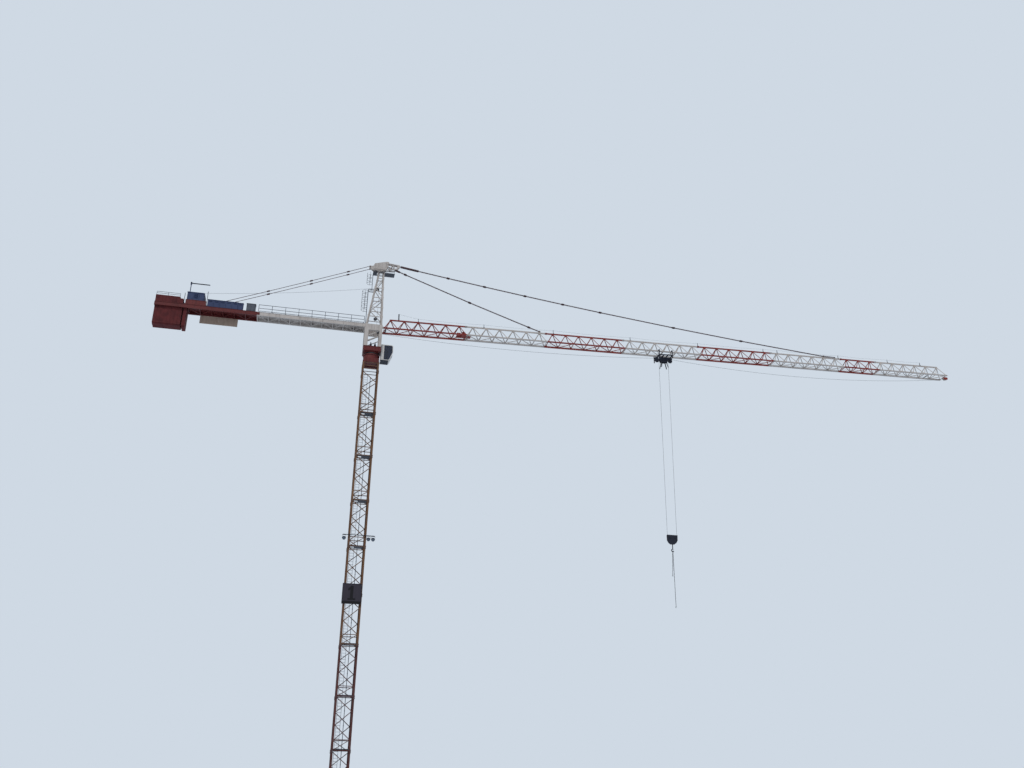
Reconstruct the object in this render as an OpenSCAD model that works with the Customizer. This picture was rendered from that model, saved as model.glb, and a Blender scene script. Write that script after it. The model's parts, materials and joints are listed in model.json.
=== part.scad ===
// Saddle-jib tower crane, one tenth of the real size, in millimetres.
// Origin: middle of the mast on the flat underside of the base frame.
// +X runs along the jib, +Z is up, and the cab stands on the jib side.

/* [Base] */
// Height of the base frame up to the foot of the mast
base_h = 70; // [60:1:110]
// Height of the base beams
base_beam_h = 44; // [30:1:50]
// Width of the base beams
base_beam_w = 24; // [16:1:30]
// Side of each square foot plate
foot_plate = 56; // [50:1:70]
// Thickness of the foot plates
foot_t = 6; // [4:0.5:10]
// Radius of an anchor bolt hole
anchor_r = 3; // [2:0.5:4]
// Distance of an anchor bolt from the middle of its foot plate
anchor_offset = 20; // [18:0.5:22]

/* [Mast] */
// Outer width of the square mast
mast_w = 185; // [170:1:210]
// Height of one mast section
section_h = 500; // [400:10:600]
// Number of mast sections in each of the three lifts
sections_per_lift = 3; // [2:1:4]
// Leg angle, outside width of a flange
leg_w = 18; // [15:0.5:22]
// Leg angle, thickness
leg_t = 3; // [2:0.5:4]
// Square lacing bar
lace = 7; // [5:0.5:9]
// Height of the short bottom panel of a section
short_panel = 104; // [80:1:130]
// Height of the splice sleeve at each end of a leg
sleeve_h = 18; // [12:1:24]
// How far the splice sleeves stand proud of the leg
sleeve_proud = 2.5; // [1:0.5:4]
// Length of a landing along the jib
landing_w = 156; // [150:1:160]
// Depth of a landing across the jib
landing_d = 116; // [90:1:140]
// Thickness of a landing
landing_t = 3; // [2:0.5:5]
// Clear width between the ladder stiles
ladder_w = 38; // [30:1:44]
// Spacing of the ladder rungs
rung_pitch = 30; // [25:1:40]
// Middle of the mast ladder along the jib
ladder_x = -42; // [-48:1:-30]

/* [Mast fittings] */
// Width of the number board
board_w = 195; // [150:1:220]
// Height of the number board
board_h = 208; // [150:1:230]
// Height of the lower edge of the number board above the base
board_z = 1974; // [1900:1:2050]
// Height of the floodlight arm above the base
flood_z = 2690; // [2650:1:2700]
// Length of the floodlight arm
flood_arm = 330; // [300:1:360]

/* [Slewing gear] */
// Height of the open legs under the drum of the slewing support
support_leg_h = 80; // [60:1:100]
// Height of the closed drum of the slewing support
support_h = 140; // [110:1:170]
// Width of the slewing support
support_w = 176; // [160:1:182]
// Height of the round upper part of the drum
drum_round_h = 76; // [60:1:100]
// Outer radius of the slewing ring
ring_r = 82; // [70:1:85]
// Height of the slewing ring
ring_h = 24; // [16:1:30]
// Number of teeth on the slewing ring
ring_teeth = 60; // [40:1:72]
// Height of the turntable
turntable_h = 70; // [60:1:90]
// Gap between fixed and turning parts
turn_gap = 0.3; // [0.2:0.1:1]

/* [Tower head] */
// Height of the legs of the head base
head_leg_h = 200; // [160:1:240]
// Height of the beam frame of the head base
head_beam_h = 76; // [60:1:90]
// Length and width of the head base
head_base_w = 200; // [190:1:220]
// Height from the head base up to the crown
head_h = 735; // [600:5:800]
// Place of the front legs along the jib, at the foot
head_front_x = 86; // [70:1:90]
// Place of the front legs along the jib, at the crown
head_front_top_x = 68; // [60:1:80]
// Place of the rear legs along the jib, at the foot
head_rear_x = -84; // [-90:1:-70]
// Place of the rear legs along the jib, at the crown
head_rear_top_x = 20; // [10:1:30]
// Square bar of the tower head legs
head_leg = 15; // [10:0.5:18]
// Square bar of the tower head bracing
head_brace = 7; // [5:0.5:9]
// Half spread of the legs across the jib at the foot
head_foot_y = 76; // [60:1:84]
// Half spread of the legs across the jib at the crown
head_top_y = 24; // [22:1:30]
// Length of the top platform
top_deck_l = 250; // [220:1:280]
// Width of the top platform
top_deck_w = 96; // [90:1:120]

/* [Cab] */
// Length of the cab along the jib
cab_l = 138; // [120:1:150]
// Width of the cab
cab_w = 130; // [110:1:140]
// Height of the cab
cab_h = 192; // [170:1:200]
// Thickness of the cab's posts and walls
cab_wall = 6; // [4:0.5:9]

/* [Jib] */
// Length of one jib panel
panel = 162; // [140:1:180]
// Number of panels in each jib section, from the root to the tip
jib_panels = [6, 6, 6, 6, 6, 6, 3, 6];
// Upward tilt of the jib in degrees
jib_tilt = 1.41; // [0:0.01:3]
// Height of the jib between chord middles
jib_depth = 138; // [120:1:150]
// Width of the jib between bottom chord middles
jib_w = 142; // [120:1:150]
// Square bar of the jib chords
chord = 14; // [10:0.5:18]
// Square bar of the jib side bracing
jib_brace = 7; // [5:0.5:9]
// Square bar of the jib floor bracing
floor_brace = 6; // [4:0.5:8]
// Width of the trolley rail that stands out from a bottom chord
rail_w = 9; // [7:0.5:12]
// Thickness of the trolley rail
rail_t = 3; // [2:0.5:4]
// Panel point of the inner tie, counted from the root
inner_tie_point = 11; // [9:1:13]
// Panel point of the outer tie, counted from the root
outer_tie_point = 34; // [32:1:36]
// Width of one tie bar
tie_bar = 4.5; // [3:0.5:6]
// Distance between the two bars of a tie
tie_pair = 14; // [12:1:18]
// Sag of the outer tie in the middle
outer_sag = 50; // [0:1:80]
// Sag of the inner tie in the middle
inner_sag = 12; // [0:1:30]
// Sag of the rear ties in the middle
rear_sag = 6; // [0:1:30]
// Distance between the two rear ties
rear_pair = 74; // [60:1:80]

/* [Counter-jib] */
// Length of the pale front frame
cj_front_l = 1205; // [1100:5:1300]
// Length of the red rear frame
cj_rear_l = 1100; // [1050:5:1150]
// Outer width of the counter-jib
cj_w = 172; // [160:1:190]
// Height of the counter-jib beams
cj_beam_h = 42; // [34:1:50]
// Width of the counter-jib beams
cj_beam_w = 14; // [10:1:18]
// Height of the handrail above the beams
cj_rail_h = 95; // [80:1:110]
// Spacing of the handrail posts
cj_post_pitch = 150; // [120:5:200]
// Number of counterweight slabs
slab_n = 8; // [5:1:8]
// Thickness of a counterweight slab
slab_t = 36; // [30:1:38]
// Gap between counterweight slabs
slab_gap = 1; // [0.5:0.5:2]
// Height of a slab's body below the beams
slab_drop = 258; // [200:1:280]
// Height of a slab's head above the beams
slab_head = 62; // [50:1:70]

/* [Trolley and hook] */
// Distance of the trolley from the jib root at rest
trolley_x = 3420; // [3300:1:3500]
// Distance between the trolley's wheel axles
wheelbase = 164; // [140:1:180]
// Radius of a trolley wheel
wheel_r = 10; // [8:0.5:12]
// Distance from a trolley sheave's axle down to the hook block's sheave axle
fall_h = 2206; // [1900:1:2400]
// Distance between the two rope falls
fall_gap = 122; // [100:1:130]
// Radius of a rope sheave
sheave_r = 24; // [20:1:28]
// Radius of the hoist rope
rope_r = 1; // [0.8:0.1:1.5]
// Length of the long sling leg
sling_l = 600; // [400:10:700]
// Length of the short sling leg
sling_short = 250; // [150:10:350]

/* [Hidden] */

red = "firebrick";
cream = "antiquewhite";
ochre = "peru";
dark = "dimgray";
steel = "silver";
slate = "slategray";

// Clearance between parts that are bolted together and may not share space
seat_gap = 0.3;
// How far one bar runs into the bar that carries it
bite = 0.5;

section_n = 3 * sections_per_lift;
mast_top = base_h + section_n * section_h;
leg_in = mast_w / 2 - leg_w;
lace_plane = mast_w / 2 - leg_t - lace / 2 + bite;
// The lacing of one face ends just short of the lacing of the next
lace_end = lace_plane - lace / 2 - 1;

support_top = mast_top + support_leg_h + support_h;
ring_top = support_top + ring_h;
turntable_z = ring_top + turn_gap;
head_leg_z = turntable_z + turntable_h;
head_beam_z = head_leg_z + head_leg_h;
head_z = head_beam_z + head_beam_h;
crown_z = head_z + head_h;
deck_z = crown_z - 30;

// Jib root: middle of the bottom chords at the first joint
jib_root_x = head_base_w / 2 + 13;
jib_root_z = head_beam_z + head_beam_h * 0.68;

// A straight square bar between two points
module bar(a, b, w) {
  v = b - a;
  run = norm([v.x, v.y]);
  translate(a) rotate([0, atan2(run, v.z), atan2(v.y, v.x)])
    translate([-w / 2, -w / 2, 0]) cube([w, w, norm(v)]);
}

// A straight round bar between two points
module rod(a, b, r, sides = 8) {
  v = b - a;
  run = norm([v.x, v.y]);
  translate(a) rotate([0, atan2(run, v.z), atan2(v.y, v.x)])
    cylinder(r = r, h = norm(v), $fn = sides);
}

// Children once in each quarter of the square mast
module quarters() {
  for (q = [0 : 3]) rotate([0, 0, 90 * q]) children();
}

module leg_angle(h) {
  linear_extrude(h) difference() {
    translate([leg_in, leg_in]) square(leg_w);
    translate([leg_in - 1, leg_in - 1]) square(leg_w - leg_t + 1);
  }
}

module sleeve(z, h) {
  side = leg_w + sleeve_proud;
  translate([leg_in, leg_in, z]) difference() {
    cube([side, side, h]);
    translate([-1, -1, -1]) cube([leg_w - leg_t + 1, leg_w - leg_t + 1, h + 2]);
  }
}

// Heights of the lacing points within one section
function lace_points() =
  let (long_panel = (section_h - short_panel) / 3)
  [sleeve_h / 2, short_panel, short_panel + long_panel, short_panel + 2 * long_panel,
   section_h - sleeve_h / 2];

// Lacing of one face of one section, cut from one flat drawing: a zigzag and two level bars
module face_lacing(hand) {
  pts = lace_points();
  slope = atan2(pts[3] - pts[2], 2 * lace_end);
  half = lace / 2 / sin(slope);
  reach = lace_end - half;
  function turn_x(i) = (i % 2 == 0 ? hand : -hand) * reach;
  translate([0, lace_plane + lace / 2, 0]) rotate([90, 0, 0]) linear_extrude(lace) {
    polygon(concat([for (i = [0 : 4]) [turn_x(i) - half, pts[i]]],
                   [for (i = [4 : -1 : 0]) [turn_x(i) + half, pts[i]]]));
    for (z = [pts[0], pts[1]])
      translate([-lace_end - bite, z - lace / 2]) square([2 * (lace_end + bite), lace]);
  }
}

// One lift of the mast: continuous legs, splices and lacing
module mast_lift(first) {
  translate([0, 0, base_h + first * section_h]) {
    quarters() {
      leg_angle(sections_per_lift * section_h);
      for (s = [0 : sections_per_lift - 1]) {
        sleeve(s * section_h, sleeve_h);
        sleeve((s + 1) * section_h - sleeve_h, sleeve_h);
      }
    }
    for (s = [0 : sections_per_lift - 1]) translate([0, 0, s * section_h]) {
      face_lacing(1);
      rotate([0, 0, 180]) face_lacing(1);
      rotate([0, 0, 90]) face_lacing(-1);
      rotate([0, 0, 270]) face_lacing(-1);
      for (x = [-landing_w / 2 + lace, landing_w / 2 - lace])
        bar([x, -lace_plane, sleeve_h / 2], [x, lace_plane, sleeve_h / 2], lace);
    }
  }
}

landing_rise = sleeve_h / 2 + lace / 2;

module mast_lower() color(ochre) mast_lift(0);
module mast_middle() color(ochre) mast_lift(sections_per_lift);
module mast_upper() color(ochre) mast_lift(2 * sections_per_lift);

stile_w = 3;
stile_d = 6;
hatch_w = ladder_w + 2 * stile_w + 2 * seat_gap;
hatch_d = 46;

module mast_landings() color(dark)
  for (k = [1 : section_n - 1])
    translate([0, 0, base_h + k * section_h + landing_rise]) difference() {
      translate([-landing_w / 2, -landing_d / 2, 0]) cube([landing_w, landing_d, landing_t]);
      translate([ladder_x - hatch_w / 2, -hatch_d / 2, -1]) cube([hatch_w, hatch_d, landing_t + 2]);
    }

// A straight ladder, foot at the origin, climbing along +Z, rungs along X
module ladder(h, w = ladder_w) {
  for (side = [-1, 1])
    translate([side * (w + stile_w) / 2 - stile_w / 2, -stile_d / 2, 0]) cube([stile_w, stile_d, h]);
  for (z = [rung_pitch / 2 : rung_pitch : h - 5])
    rod([-w / 2 - bite, 0, z], [w / 2 + bite, 0, z], 1.4, 6);
}

module mast_ladder() color(dark)
  translate([ladder_x, 0, base_beam_h]) ladder(mast_top - base_beam_h);

// Base frame: four foot plates, a ring of beams and a cross under the mast
foot_mid = mast_w / 2 - leg_w / 2;
module base_frame() color(dark) {
  quarters() {
    translate([foot_mid, foot_mid, 0]) difference() {
      translate([-foot_plate / 2, -foot_plate / 2, 0]) cube([foot_plate, foot_plate, foot_t]);
      for (x = [-1, 1], y = [-1, 1])
        translate([x * anchor_offset, y * anchor_offset, -1]) cylinder(r = anchor_r, h = foot_t + 2, $fn = 24);
    }
    leg_angle(base_h);
    sleeve(base_h - sleeve_h, sleeve_h);
    translate([-foot_mid, foot_mid - base_beam_w / 2, 0]) cube([2 * foot_mid, base_beam_w / 2 + 4, base_beam_h]);
  }
  for (q = [0, 90]) rotate([0, 0, q])
    translate([-foot_mid, -base_beam_w / 2, 0]) cube([2 * foot_mid, base_beam_w, base_beam_h]);
}

// Floodlights on an arm across the near face of the mast
lamp_w = 42;
module flood_lamp(w) {
  translate([-w / 2, -14, -44]) cube([w, 24, 34]);
  translate([-3, -3, -12]) cube([6, 6, 12]);
}
module floodlights() color(dark) {
  arm_y = -mast_w / 2 - sleeve_proud - 10;
  translate([12, arm_y, flood_z]) {
    translate([-flood_arm / 2, -3, -3]) cube([flood_arm, 6, 6]);
    translate([-flood_arm / 2 + 14, 0, 0]) flood_lamp(lamp_w);
    translate([flood_arm / 2 - 14, 0, 0]) flood_lamp(lamp_w);
    translate([flood_arm / 2 - 62, 0, 0]) flood_lamp(lamp_w);
  }
  for (side = [-1, 1])
    translate([side * foot_mid - 5, arm_y, flood_z - 5])
      cube([10, -mast_w / 2 - seat_gap - arm_y, 10]);
}

// Number board on two rails bolted to the near legs
module number_board() color(dark) {
  rail_y = -mast_w / 2 - sleeve_proud - 6;
  translate([-112, rail_y - 5, board_z]) cube([board_w, 3, board_h]);
  for (z = [30, board_h - 40])
    translate([-foot_mid - 8, rail_y - 2 - bite, board_z + z])
      cube([2 * (foot_mid + 8), -mast_w / 2 - seat_gap - rail_y + 2 + bite, 8]);
}

// Slewing support: four legs, plated drum and top flange
module slewing_support() color(red) {
  translate([0, 0, mast_top]) {
    quarters() {
      leg_angle(support_leg_h + 10);
      sleeve(0, sleeve_h);
    }
    translate([0, 0, support_leg_h]) difference() {
      union() {
        translate([-support_w / 2, -support_w / 2, 0]) cube([support_w, support_w, support_h - drum_round_h]);
        translate([-mast_w / 2, -mast_w / 2, 0]) cube([mast_w, mast_w, 10]);
        cylinder(r = support_w / 2, h = support_h, $fn = 96);
        translate([0, 0, support_h - 8]) cylinder(r = support_w / 2 + 6, h = 8, $fn = 96);
      }
      translate([0, 0, -1]) cylinder(r = ring_r - 22, h = support_h + 2, $fn = 64);
    }
  }
}

// Slewing ring with outside teeth
module slewing_ring() color(dark) {
  tooth = PI * ring_r / ring_teeth;
  translate([0, 0, support_top]) difference() {
    union() {
      cylinder(r = ring_r - 4, h = ring_h, $fn = 96);
      for (i = [0 : ring_teeth - 1]) rotate([0, 0, i * 360 / ring_teeth])
        translate([ring_r - 6, -tooth / 2, 2]) cube([6, tooth, ring_h - 10]);
    }
    translate([0, 0, -1]) cylinder(r = ring_r - 18, h = ring_h + 2, $fn = 96);
  }
}

module turntable() color(red)
  translate([0, 0, turntable_z]) difference() {
    union() {
      translate([-head_base_w / 2, -head_base_w / 2 + 8, 12])
        cube([head_base_w, head_base_w - 16, turntable_h - 12]);
      cylinder(r = ring_r, h = 13, $fn = 96);
    }
    translate([0, 0, -1]) cylinder(r = ring_r - 26, h = turntable_h + 2, $fn = 64);
  }

// Slewing motors: two flanged drives standing on the turntable
module slewing_motors() color(dark)
  for (x = [-18, 30]) translate([x, -head_base_w / 2 + 30, head_leg_z]) {
    cylinder(r = 12, h = 5, $fn = 32);
    cylinder(r = 9, h = 34, $fn = 32);
    cylinder(r = 10.5, h = 26, $fn = 32);
    translate([0, 0, 33]) cylinder(r = 6, h = 16, $fn = 32);
  }

post_rear = 44;
post_front = 32;
post_side = 24;
module head_base() color(cream) {
  half = head_base_w / 2;
  for (side = [-1, 1]) {
    translate([-half, side * (half - 8 - post_side / 2) - post_side / 2, head_leg_z])
      cube([post_rear, post_side, head_leg_h + bite]);
    translate([half - post_front, side * (half - 8 - post_side / 2) - post_side / 2, head_leg_z])
      cube([post_front, post_side, head_leg_h + bite]);
    y = side * (half - 8 - post_side / 2);
    bar([-half + post_rear - 4, y, head_leg_z + 70], [half - post_front + 4, y, head_leg_z + 140], 8);
    bar([-half + post_rear - 4, y, head_leg_z + 130], [half - post_front + 4, y, head_beam_z + 5], 8);
    translate([-half, side * (half - 8) - (side > 0 ? post_side : 0), head_beam_z])
      cube([head_base_w, post_side, head_beam_h]);
    translate([half - bite, side * jib_w / 2 - chord / 2, jib_root_z - chord / 2 - 4])
      cube([13 - seat_gap + bite, chord, chord + 8]);
  }
  translate([-half, -half + 12, head_beam_z]) cube([18, head_base_w - 24, head_beam_h]);
  translate([half - 18, -half + 12, head_beam_z + 26]) cube([18, head_base_w - 24, head_beam_h - 26]);
  translate(foot_sheave) rotate([90, 0, 0]) cylinder(r = axle_r, h = head_base_w - 50, center = true, $fn = 32);
}

// Point on a tower head leg: f runs from 0 at the foot to 1 at the crown
function head_front(f, side) =
  [head_front_x + f * (head_front_top_x - head_front_x),
   side * (head_foot_y + f * (head_top_y - head_foot_y)), head_z + f * head_h];
function head_rear(f, side) =
  [head_rear_x + f * (head_rear_top_x - head_rear_x),
   side * (head_foot_y + f * (head_top_y - head_foot_y)), head_z + f * head_h];

head_levels = [0.15, 0.32, 0.5, 0.68, 0.86];
// Rope sheaves at the tower head: top, guide and foot
head_sheave_r = 20;
top_sheave = [14, 0, head_z + head_levels[3] * head_h];
guide_sheave = [14, 0, head_z + head_levels[0] * head_h];
foot_sheave = [top_sheave.x + 2 * head_sheave_r, 0, head_beam_z + 24];
axle_r = 4;
module tower_head() color(cream) difference() {
  union() {
    for (side = [-1, 1]) {
      bar(head_front(-0.02, side), head_front(1.01, side), head_leg);
      bar(head_rear(-0.02, side), head_rear(1.01, side), head_leg);
      for (f = head_levels) bar(head_front(f, side), head_rear(f, side), head_brace);
      for (i = [0 : len(head_levels) - 2])
        if (i % 2 == 0) bar(head_front(head_levels[i], side), head_rear(head_levels[i + 1], side), head_brace);
        else bar(head_rear(head_levels[i], side), head_front(head_levels[i + 1], side), head_brace);
    }
    for (f = head_levels) {
      bar(head_front(f, -1), head_front(f, 1), head_brace);
      bar(head_rear(f, -1), head_rear(f, 1), head_brace);
    }
    for (p = [top_sheave, guide_sheave]) translate(p) rotate([90, 0, 0])
      cylinder(r = axle_r, h = 2 * head_front((p.z - head_z) / head_h, 1).y, center = true, $fn = 32);
    for (x = [head_rear_top_x - 16, head_front_top_x + 12])
      translate([x - 4, -top_deck_w / 2, deck_z - 8]) cube([8, top_deck_w, 8]);
  }
  translate([-150, -150, head_z - 40]) cube([300, 300, 40]);
  translate([-150, -150, crown_z]) cube([300, 300, 40]);
}

crown_t = 6;
crown_half = head_top_y + head_leg / 2;
crown_y = tie_pair / 2 + tie_bar / 2 + 2 + crown_t / 2;
outer_pin = [116, 0, crown_z + 120];
inner_pin = [104, 0, crown_z + 84];
rear_pin = [-92, 0, crown_z + 44];
pin_r = 4;
module crown_plate() {
  rotate([90, 0, 0]) linear_extrude(crown_t, center = true)
    polygon([[-52, 0], [84, 0], [116, 66], [130, 116], [124, 134], [100, 136], [-40, 96], [-56, 60],
             [-98, 54], [-104, 46], [-98, 34]]);
}
module head_crown() color(cream) {
  translate([-2, -crown_half, crown_z]) cube([86, 2 * crown_half, 6]);
  for (side = [-1, 1])
    translate([0, side * crown_y, crown_z + 5]) crown_plate();
  for (p = [outer_pin, inner_pin])
    translate(p) rotate([90, 0, 0]) cylinder(r = pin_r, h = 2 * crown_y + 1, center = true, $fn = 32);
  translate(rear_pin) rotate([90, 0, 0])
    cylinder(r = pin_r, h = rear_pair + 3 * tie_bar, center = true, $fn = 32);
}

module head_deck() difference() {
  union() {
    translate([-50, -top_deck_w / 2, deck_z]) cube([top_deck_l, top_deck_w, 3]);
    for (side = [-1, 1], x = [-48, 72, top_deck_l - 54])
      translate([x, side * (top_deck_w / 2 - 1.5) - 1.5, deck_z + 2]) cube([3, 3, 38]);
    for (side = [-1, 1], z = [18, 37])
      translate([-48, side * (top_deck_w / 2 - 1.5) - 1.5, deck_z + z]) cube([top_deck_l - 4, 3, 3]);
  }
  translate([-6, -crown_half - 4, deck_z - 1]) cube([92, 2 * crown_half + 8, 5]);
}

head_ladder_x = -93;
module head_access() color(dark) {
  head_deck();
  translate([head_ladder_x, 0, head_z]) rotate([0, 0, 90]) ladder(480, 30);
}

cab_gap = 4;
cab_x = head_base_w / 2 + cab_gap;
cab_z = head_leg_z - 148;
module cab_outline() {
  polygon([[0, 0], [92, 0], [104, 12], [cab_l, cab_h * 0.55], [cab_l - 3, cab_h - 14],
           [cab_l - 16, cab_h], [0, cab_h]]);
}
module cab() color(cream) translate([cab_x, 0, cab_z]) {
  difference() {
    rotate([90, 0, 0]) linear_extrude(cab_w, center = true) cab_outline();
    rotate([90, 0, 0]) linear_extrude(cab_w - 2 * cab_wall, center = true) offset(delta = -cab_wall) cab_outline();
    translate([36, -cab_w, 60]) cube([70, 2 * cab_w, cab_h - 84]);
    translate([112, -cab_w / 2 + 8, 40]) cube([60, cab_w - 16, cab_h - 62]);
  }
  for (y = [-52, 40])
    translate([-cab_gap + seat_gap, y, head_leg_z - cab_z - 44]) cube([cab_gap - seat_gap + bite, 12, 36]);
}
module cab_windows() color("midnightblue") translate([cab_x, 0, cab_z])
  for (side = [-1, 1])
    translate([36 + seat_gap, side * (cab_w / 2 - 3) - 1, 60 + seat_gap])
      cube([70 - 2 * seat_gap, 2, cab_h - 84 - 2 * seat_gap]);

// Children in the jib's own frame: root at the origin, jib along +X
module on_jib() {
  translate([jib_root_x, 0, jib_root_z]) rotate([0, -jib_tilt, 0]) children();
}

function panels_before(i) = i == 0 ? 0 : jib_panels[i - 1] + panels_before(i - 1);
jib_end = panels_before(len(jib_panels)) * panel;
end_inset = 9;

// One jib section, i counted from 0 at the root
module jib_section(i) {
  first = panels_before(i);
  count = jib_panels[i];
  x0 = first * panel;
  x1 = (first + count) * panel;
  w = jib_w / 2;
  function foot_x(j) = j == 0 ? x0 + end_inset : j == count ? x1 - end_inset : x0 + j * panel;
  on_jib() {
    for (side = [-1, 1]) {
      translate([x0, side * w - chord / 2, -chord / 2]) cube([x1 - x0, chord, chord]);
      translate([x0, side * (w + (chord + rail_w) / 2 - bite) - rail_w / 2, -chord / 2])
        cube([x1 - x0, rail_w, rail_t]);
    }
    top_from = i == 0 ? panel / 2 - chord / 2 : x0;
    top_to = i == len(jib_panels) - 1 ? x1 - panel / 2 + chord / 2 : x1;
    translate([top_from, -chord / 2, jib_depth - chord / 2]) cube([top_to - top_from, chord, chord]);
    for (j = [0 : count - 1], side = [-1, 1]) {
      peak = [x0 + (j + 0.5) * panel, 0, jib_depth];
      bar([foot_x(j), side * w, 0], peak, jib_brace);
      bar([foot_x(j + 1), side * w, 0], peak, jib_brace);
    }
    for (j = [0 : count]) bar([foot_x(j), -w, 0], [foot_x(j), w, 0], floor_brace);
    for (j = [0 : count - 1]) {
      side = (j % 2 == 0) ? 1 : -1;
      bar([foot_x(j), -side * w, 0], [foot_x(j + 1), side * w, 0], floor_brace);
    }
    for (p = [inner_tie_point, outer_tie_point])
      if (p >= first && p < first + count)
        translate([(p + 0.5) * panel, 0, jib_depth]) jib_lug();
    if (i == len(jib_panels) - 1) jib_tip(x1);
  }
}

// Cheeks at the jib tip for the tip sheave, with the pin that ends the hoist rope
tip_cheek_y = 10;
tip_pin = [4, -26];
module jib_tip(x) {
  for (side = [-1, 1])
    translate([x, side * tip_cheek_y, 0]) rotate([90, 0, 0]) linear_extrude(4, center = true)
      polygon([[-20, 4], [40, 4], [50, -6], [46, -26], [14, -34], [-6, -34], [-20, -8]]);
  translate([x + tip_sheave.x - jib_end, 0, tip_sheave.z]) rotate([90, 0, 0])
    cylinder(r = axle_r, h = 2 * tip_cheek_y, center = true, $fn = 32);
  translate([x + tip_pin.x, 0, tip_pin.y]) rotate([90, 0, 0])
    cylinder(r = 2.5, h = 2 * tip_cheek_y, center = true, $fn = 32);
}

// Lug on the top chord that takes a tie pin
lug_h = 20;
lug_t = 6;
module jib_lug() {
  translate([-14, -lug_t / 2, chord / 2 - bite]) cube([28, lug_t, lug_h]);
  translate([0, 0, chord / 2 + lug_h - 7]) rotate([90, 0, 0])
    cylinder(r = pin_r, h = tie_pair + tie_bar + 4, center = true, $fn = 32);
}

// Trolley winch on the floor bars of the jib
module trolley_winch() color(red) on_jib()
  translate([940, 0, floor_brace / 2]) {
    translate([-86, -34, 0]) cube([172, 68, 6]);
    translate([0, 0, 30]) rotate([90, 0, 0]) cylinder(r = 20, h = 52, center = true, $fn = 48);
    for (y = [-32, 26]) translate([-20, y, 5]) cube([40, 6, 30]);
  }

// A tie: two parallel bars in straight links along a shallow curve, with an eye at each end
function on_tie(a, b, sag, f) = a + f * (b - a) - [0, 0, 4 * sag * f * (1 - f)];
module tie(a, b, sag, stops, pair) {
  last = len(stops) - 1;
  for (side = [-1, 1]) translate([0, side * pair / 2, 0]) difference() {
    union() {
      for (i = [0 : last - 1])
        bar(on_tie(a, b, sag, stops[i]), on_tie(a, b, sag, stops[i + 1]), tie_bar);
      for (i = [0 : last])
        translate(on_tie(a, b, sag, stops[i])) rotate([90, 0, 0])
          cylinder(r = i == 0 || i == last ? tie_eye : tie_eye - 3, h = eye_t, center = true, $fn = 32);
    }
    for (p = [a, b])
      translate(p) rotate([90, 0, 0]) cylinder(r = pin_r + seat_gap, h = 3 * tie_bar, center = true, $fn = 32);
  }
}

function jib_point(x, z) =
  [jib_root_x + x * cos(jib_tilt) - z * sin(jib_tilt), 0,
   jib_root_z + x * sin(jib_tilt) + z * cos(jib_tilt)];
function lug_point(p) = jib_point((p + 0.5) * panel, jib_depth + chord / 2 + lug_h - 7);

tie_eye = 9;
eye_t = tie_bar + 1;
module tie_bars() color(dark) {
  tie(outer_pin, lug_point(outer_tie_point), outer_sag, [0, 0.055, 0.13, 0.21, 0.3, 0.385, 0.47, 0.64, 0.8, 1],
      tie_pair);
  tie(inner_pin, lug_point(inner_tie_point), inner_sag, [0, 0.12, 0.54, 0.93, 1], tie_pair);
  tie(rear_pin, rear_anchor, rear_sag, [0, 0.14, 0.37, 0.63, 1], rear_pair);
}

// Grooved rope sheave on an axle along Y
module sheave(r, bore, w = 8) {
  rotate([90, 0, 0]) rotate_extrude($fn = 48)
    polygon([[bore, -w / 2], [r + 3, -w / 2], [r + 3, -w / 2 + 1], [r, -1], [r, 1], [r + 3, w / 2 - 1],
             [r + 3, w / 2], [bore, w / 2]]);
}

module rope_sheaves() color(dark) {
  for (p = [top_sheave, guide_sheave, foot_sheave])
    translate(p) sheave(head_sheave_r - 3, axle_r + seat_gap);
  on_jib() translate(tip_sheave) sheave(tip_sheave_r, axle_r + seat_gap);
}

cj_top_z = head_z;
cj_z = cj_top_z - cj_beam_h;
cj_x0 = -head_base_w / 2 - seat_gap;
cj_x1 = cj_x0 - cj_front_l;
cj_x2 = cj_x1 - cj_rear_l;
cj_in = cj_w / 2 - cj_beam_w;
// Clear gap between the full slabs and the one in front of them
low_slab_gap = 12;
slab_bay = slab_n * (slab_t + slab_gap) + low_slab_gap + slab_t + 12;
// The winch house reaches back over the slab bay by this much
house_lap = 25.7;
house_x = cj_x2 + slab_bay - house_lap;
house_l = 182;
// Free run of beam from the winch house to the pins of the rear ties
anchor_gap = 18;
rear_anchor = [house_x + house_l + anchor_gap, 0, cj_top_z + 24];

// Two side beams from x_to up to x_from
module side_beams(x_from, x_to) {
  for (side = [-1, 1])
    translate([x_to, side * (cj_in + cj_beam_w / 2) - cj_beam_w / 2, cj_z])
      cube([x_from - x_to, cj_beam_w, cj_beam_h]);
}

// Cross members, zigzag floor bracing and deck between the side beams
module beam_floor(x_from, x_to, pitch) {
  n = floor((x_from - x_to) / pitch);
  step = (x_from - x_to - 8) / n;
  for (i = [0 : n])
    translate([x_to + i * step, -cj_in - bite, cj_z + 3]) cube([8, 2 * (cj_in + bite), cj_beam_h - 12]);
  for (i = [0 : n - 1]) {
    side = i % 2 == 0 ? 1 : -1;
    bar([x_to + i * step + 4, -side * cj_in, cj_z + 8], [x_to + (i + 1) * step + 4, side * cj_in, cj_z + 8], 7);
  }
  translate([x_to, -cj_in - bite, cj_top_z - 9.5]) cube([x_from - x_to, 2 * (cj_in + bite), 3]);
}

module counter_jib_front() color(cream) {
  side_beams(cj_x0, cj_x1);
  beam_floor(cj_x0, cj_x1, 120);
}

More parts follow.
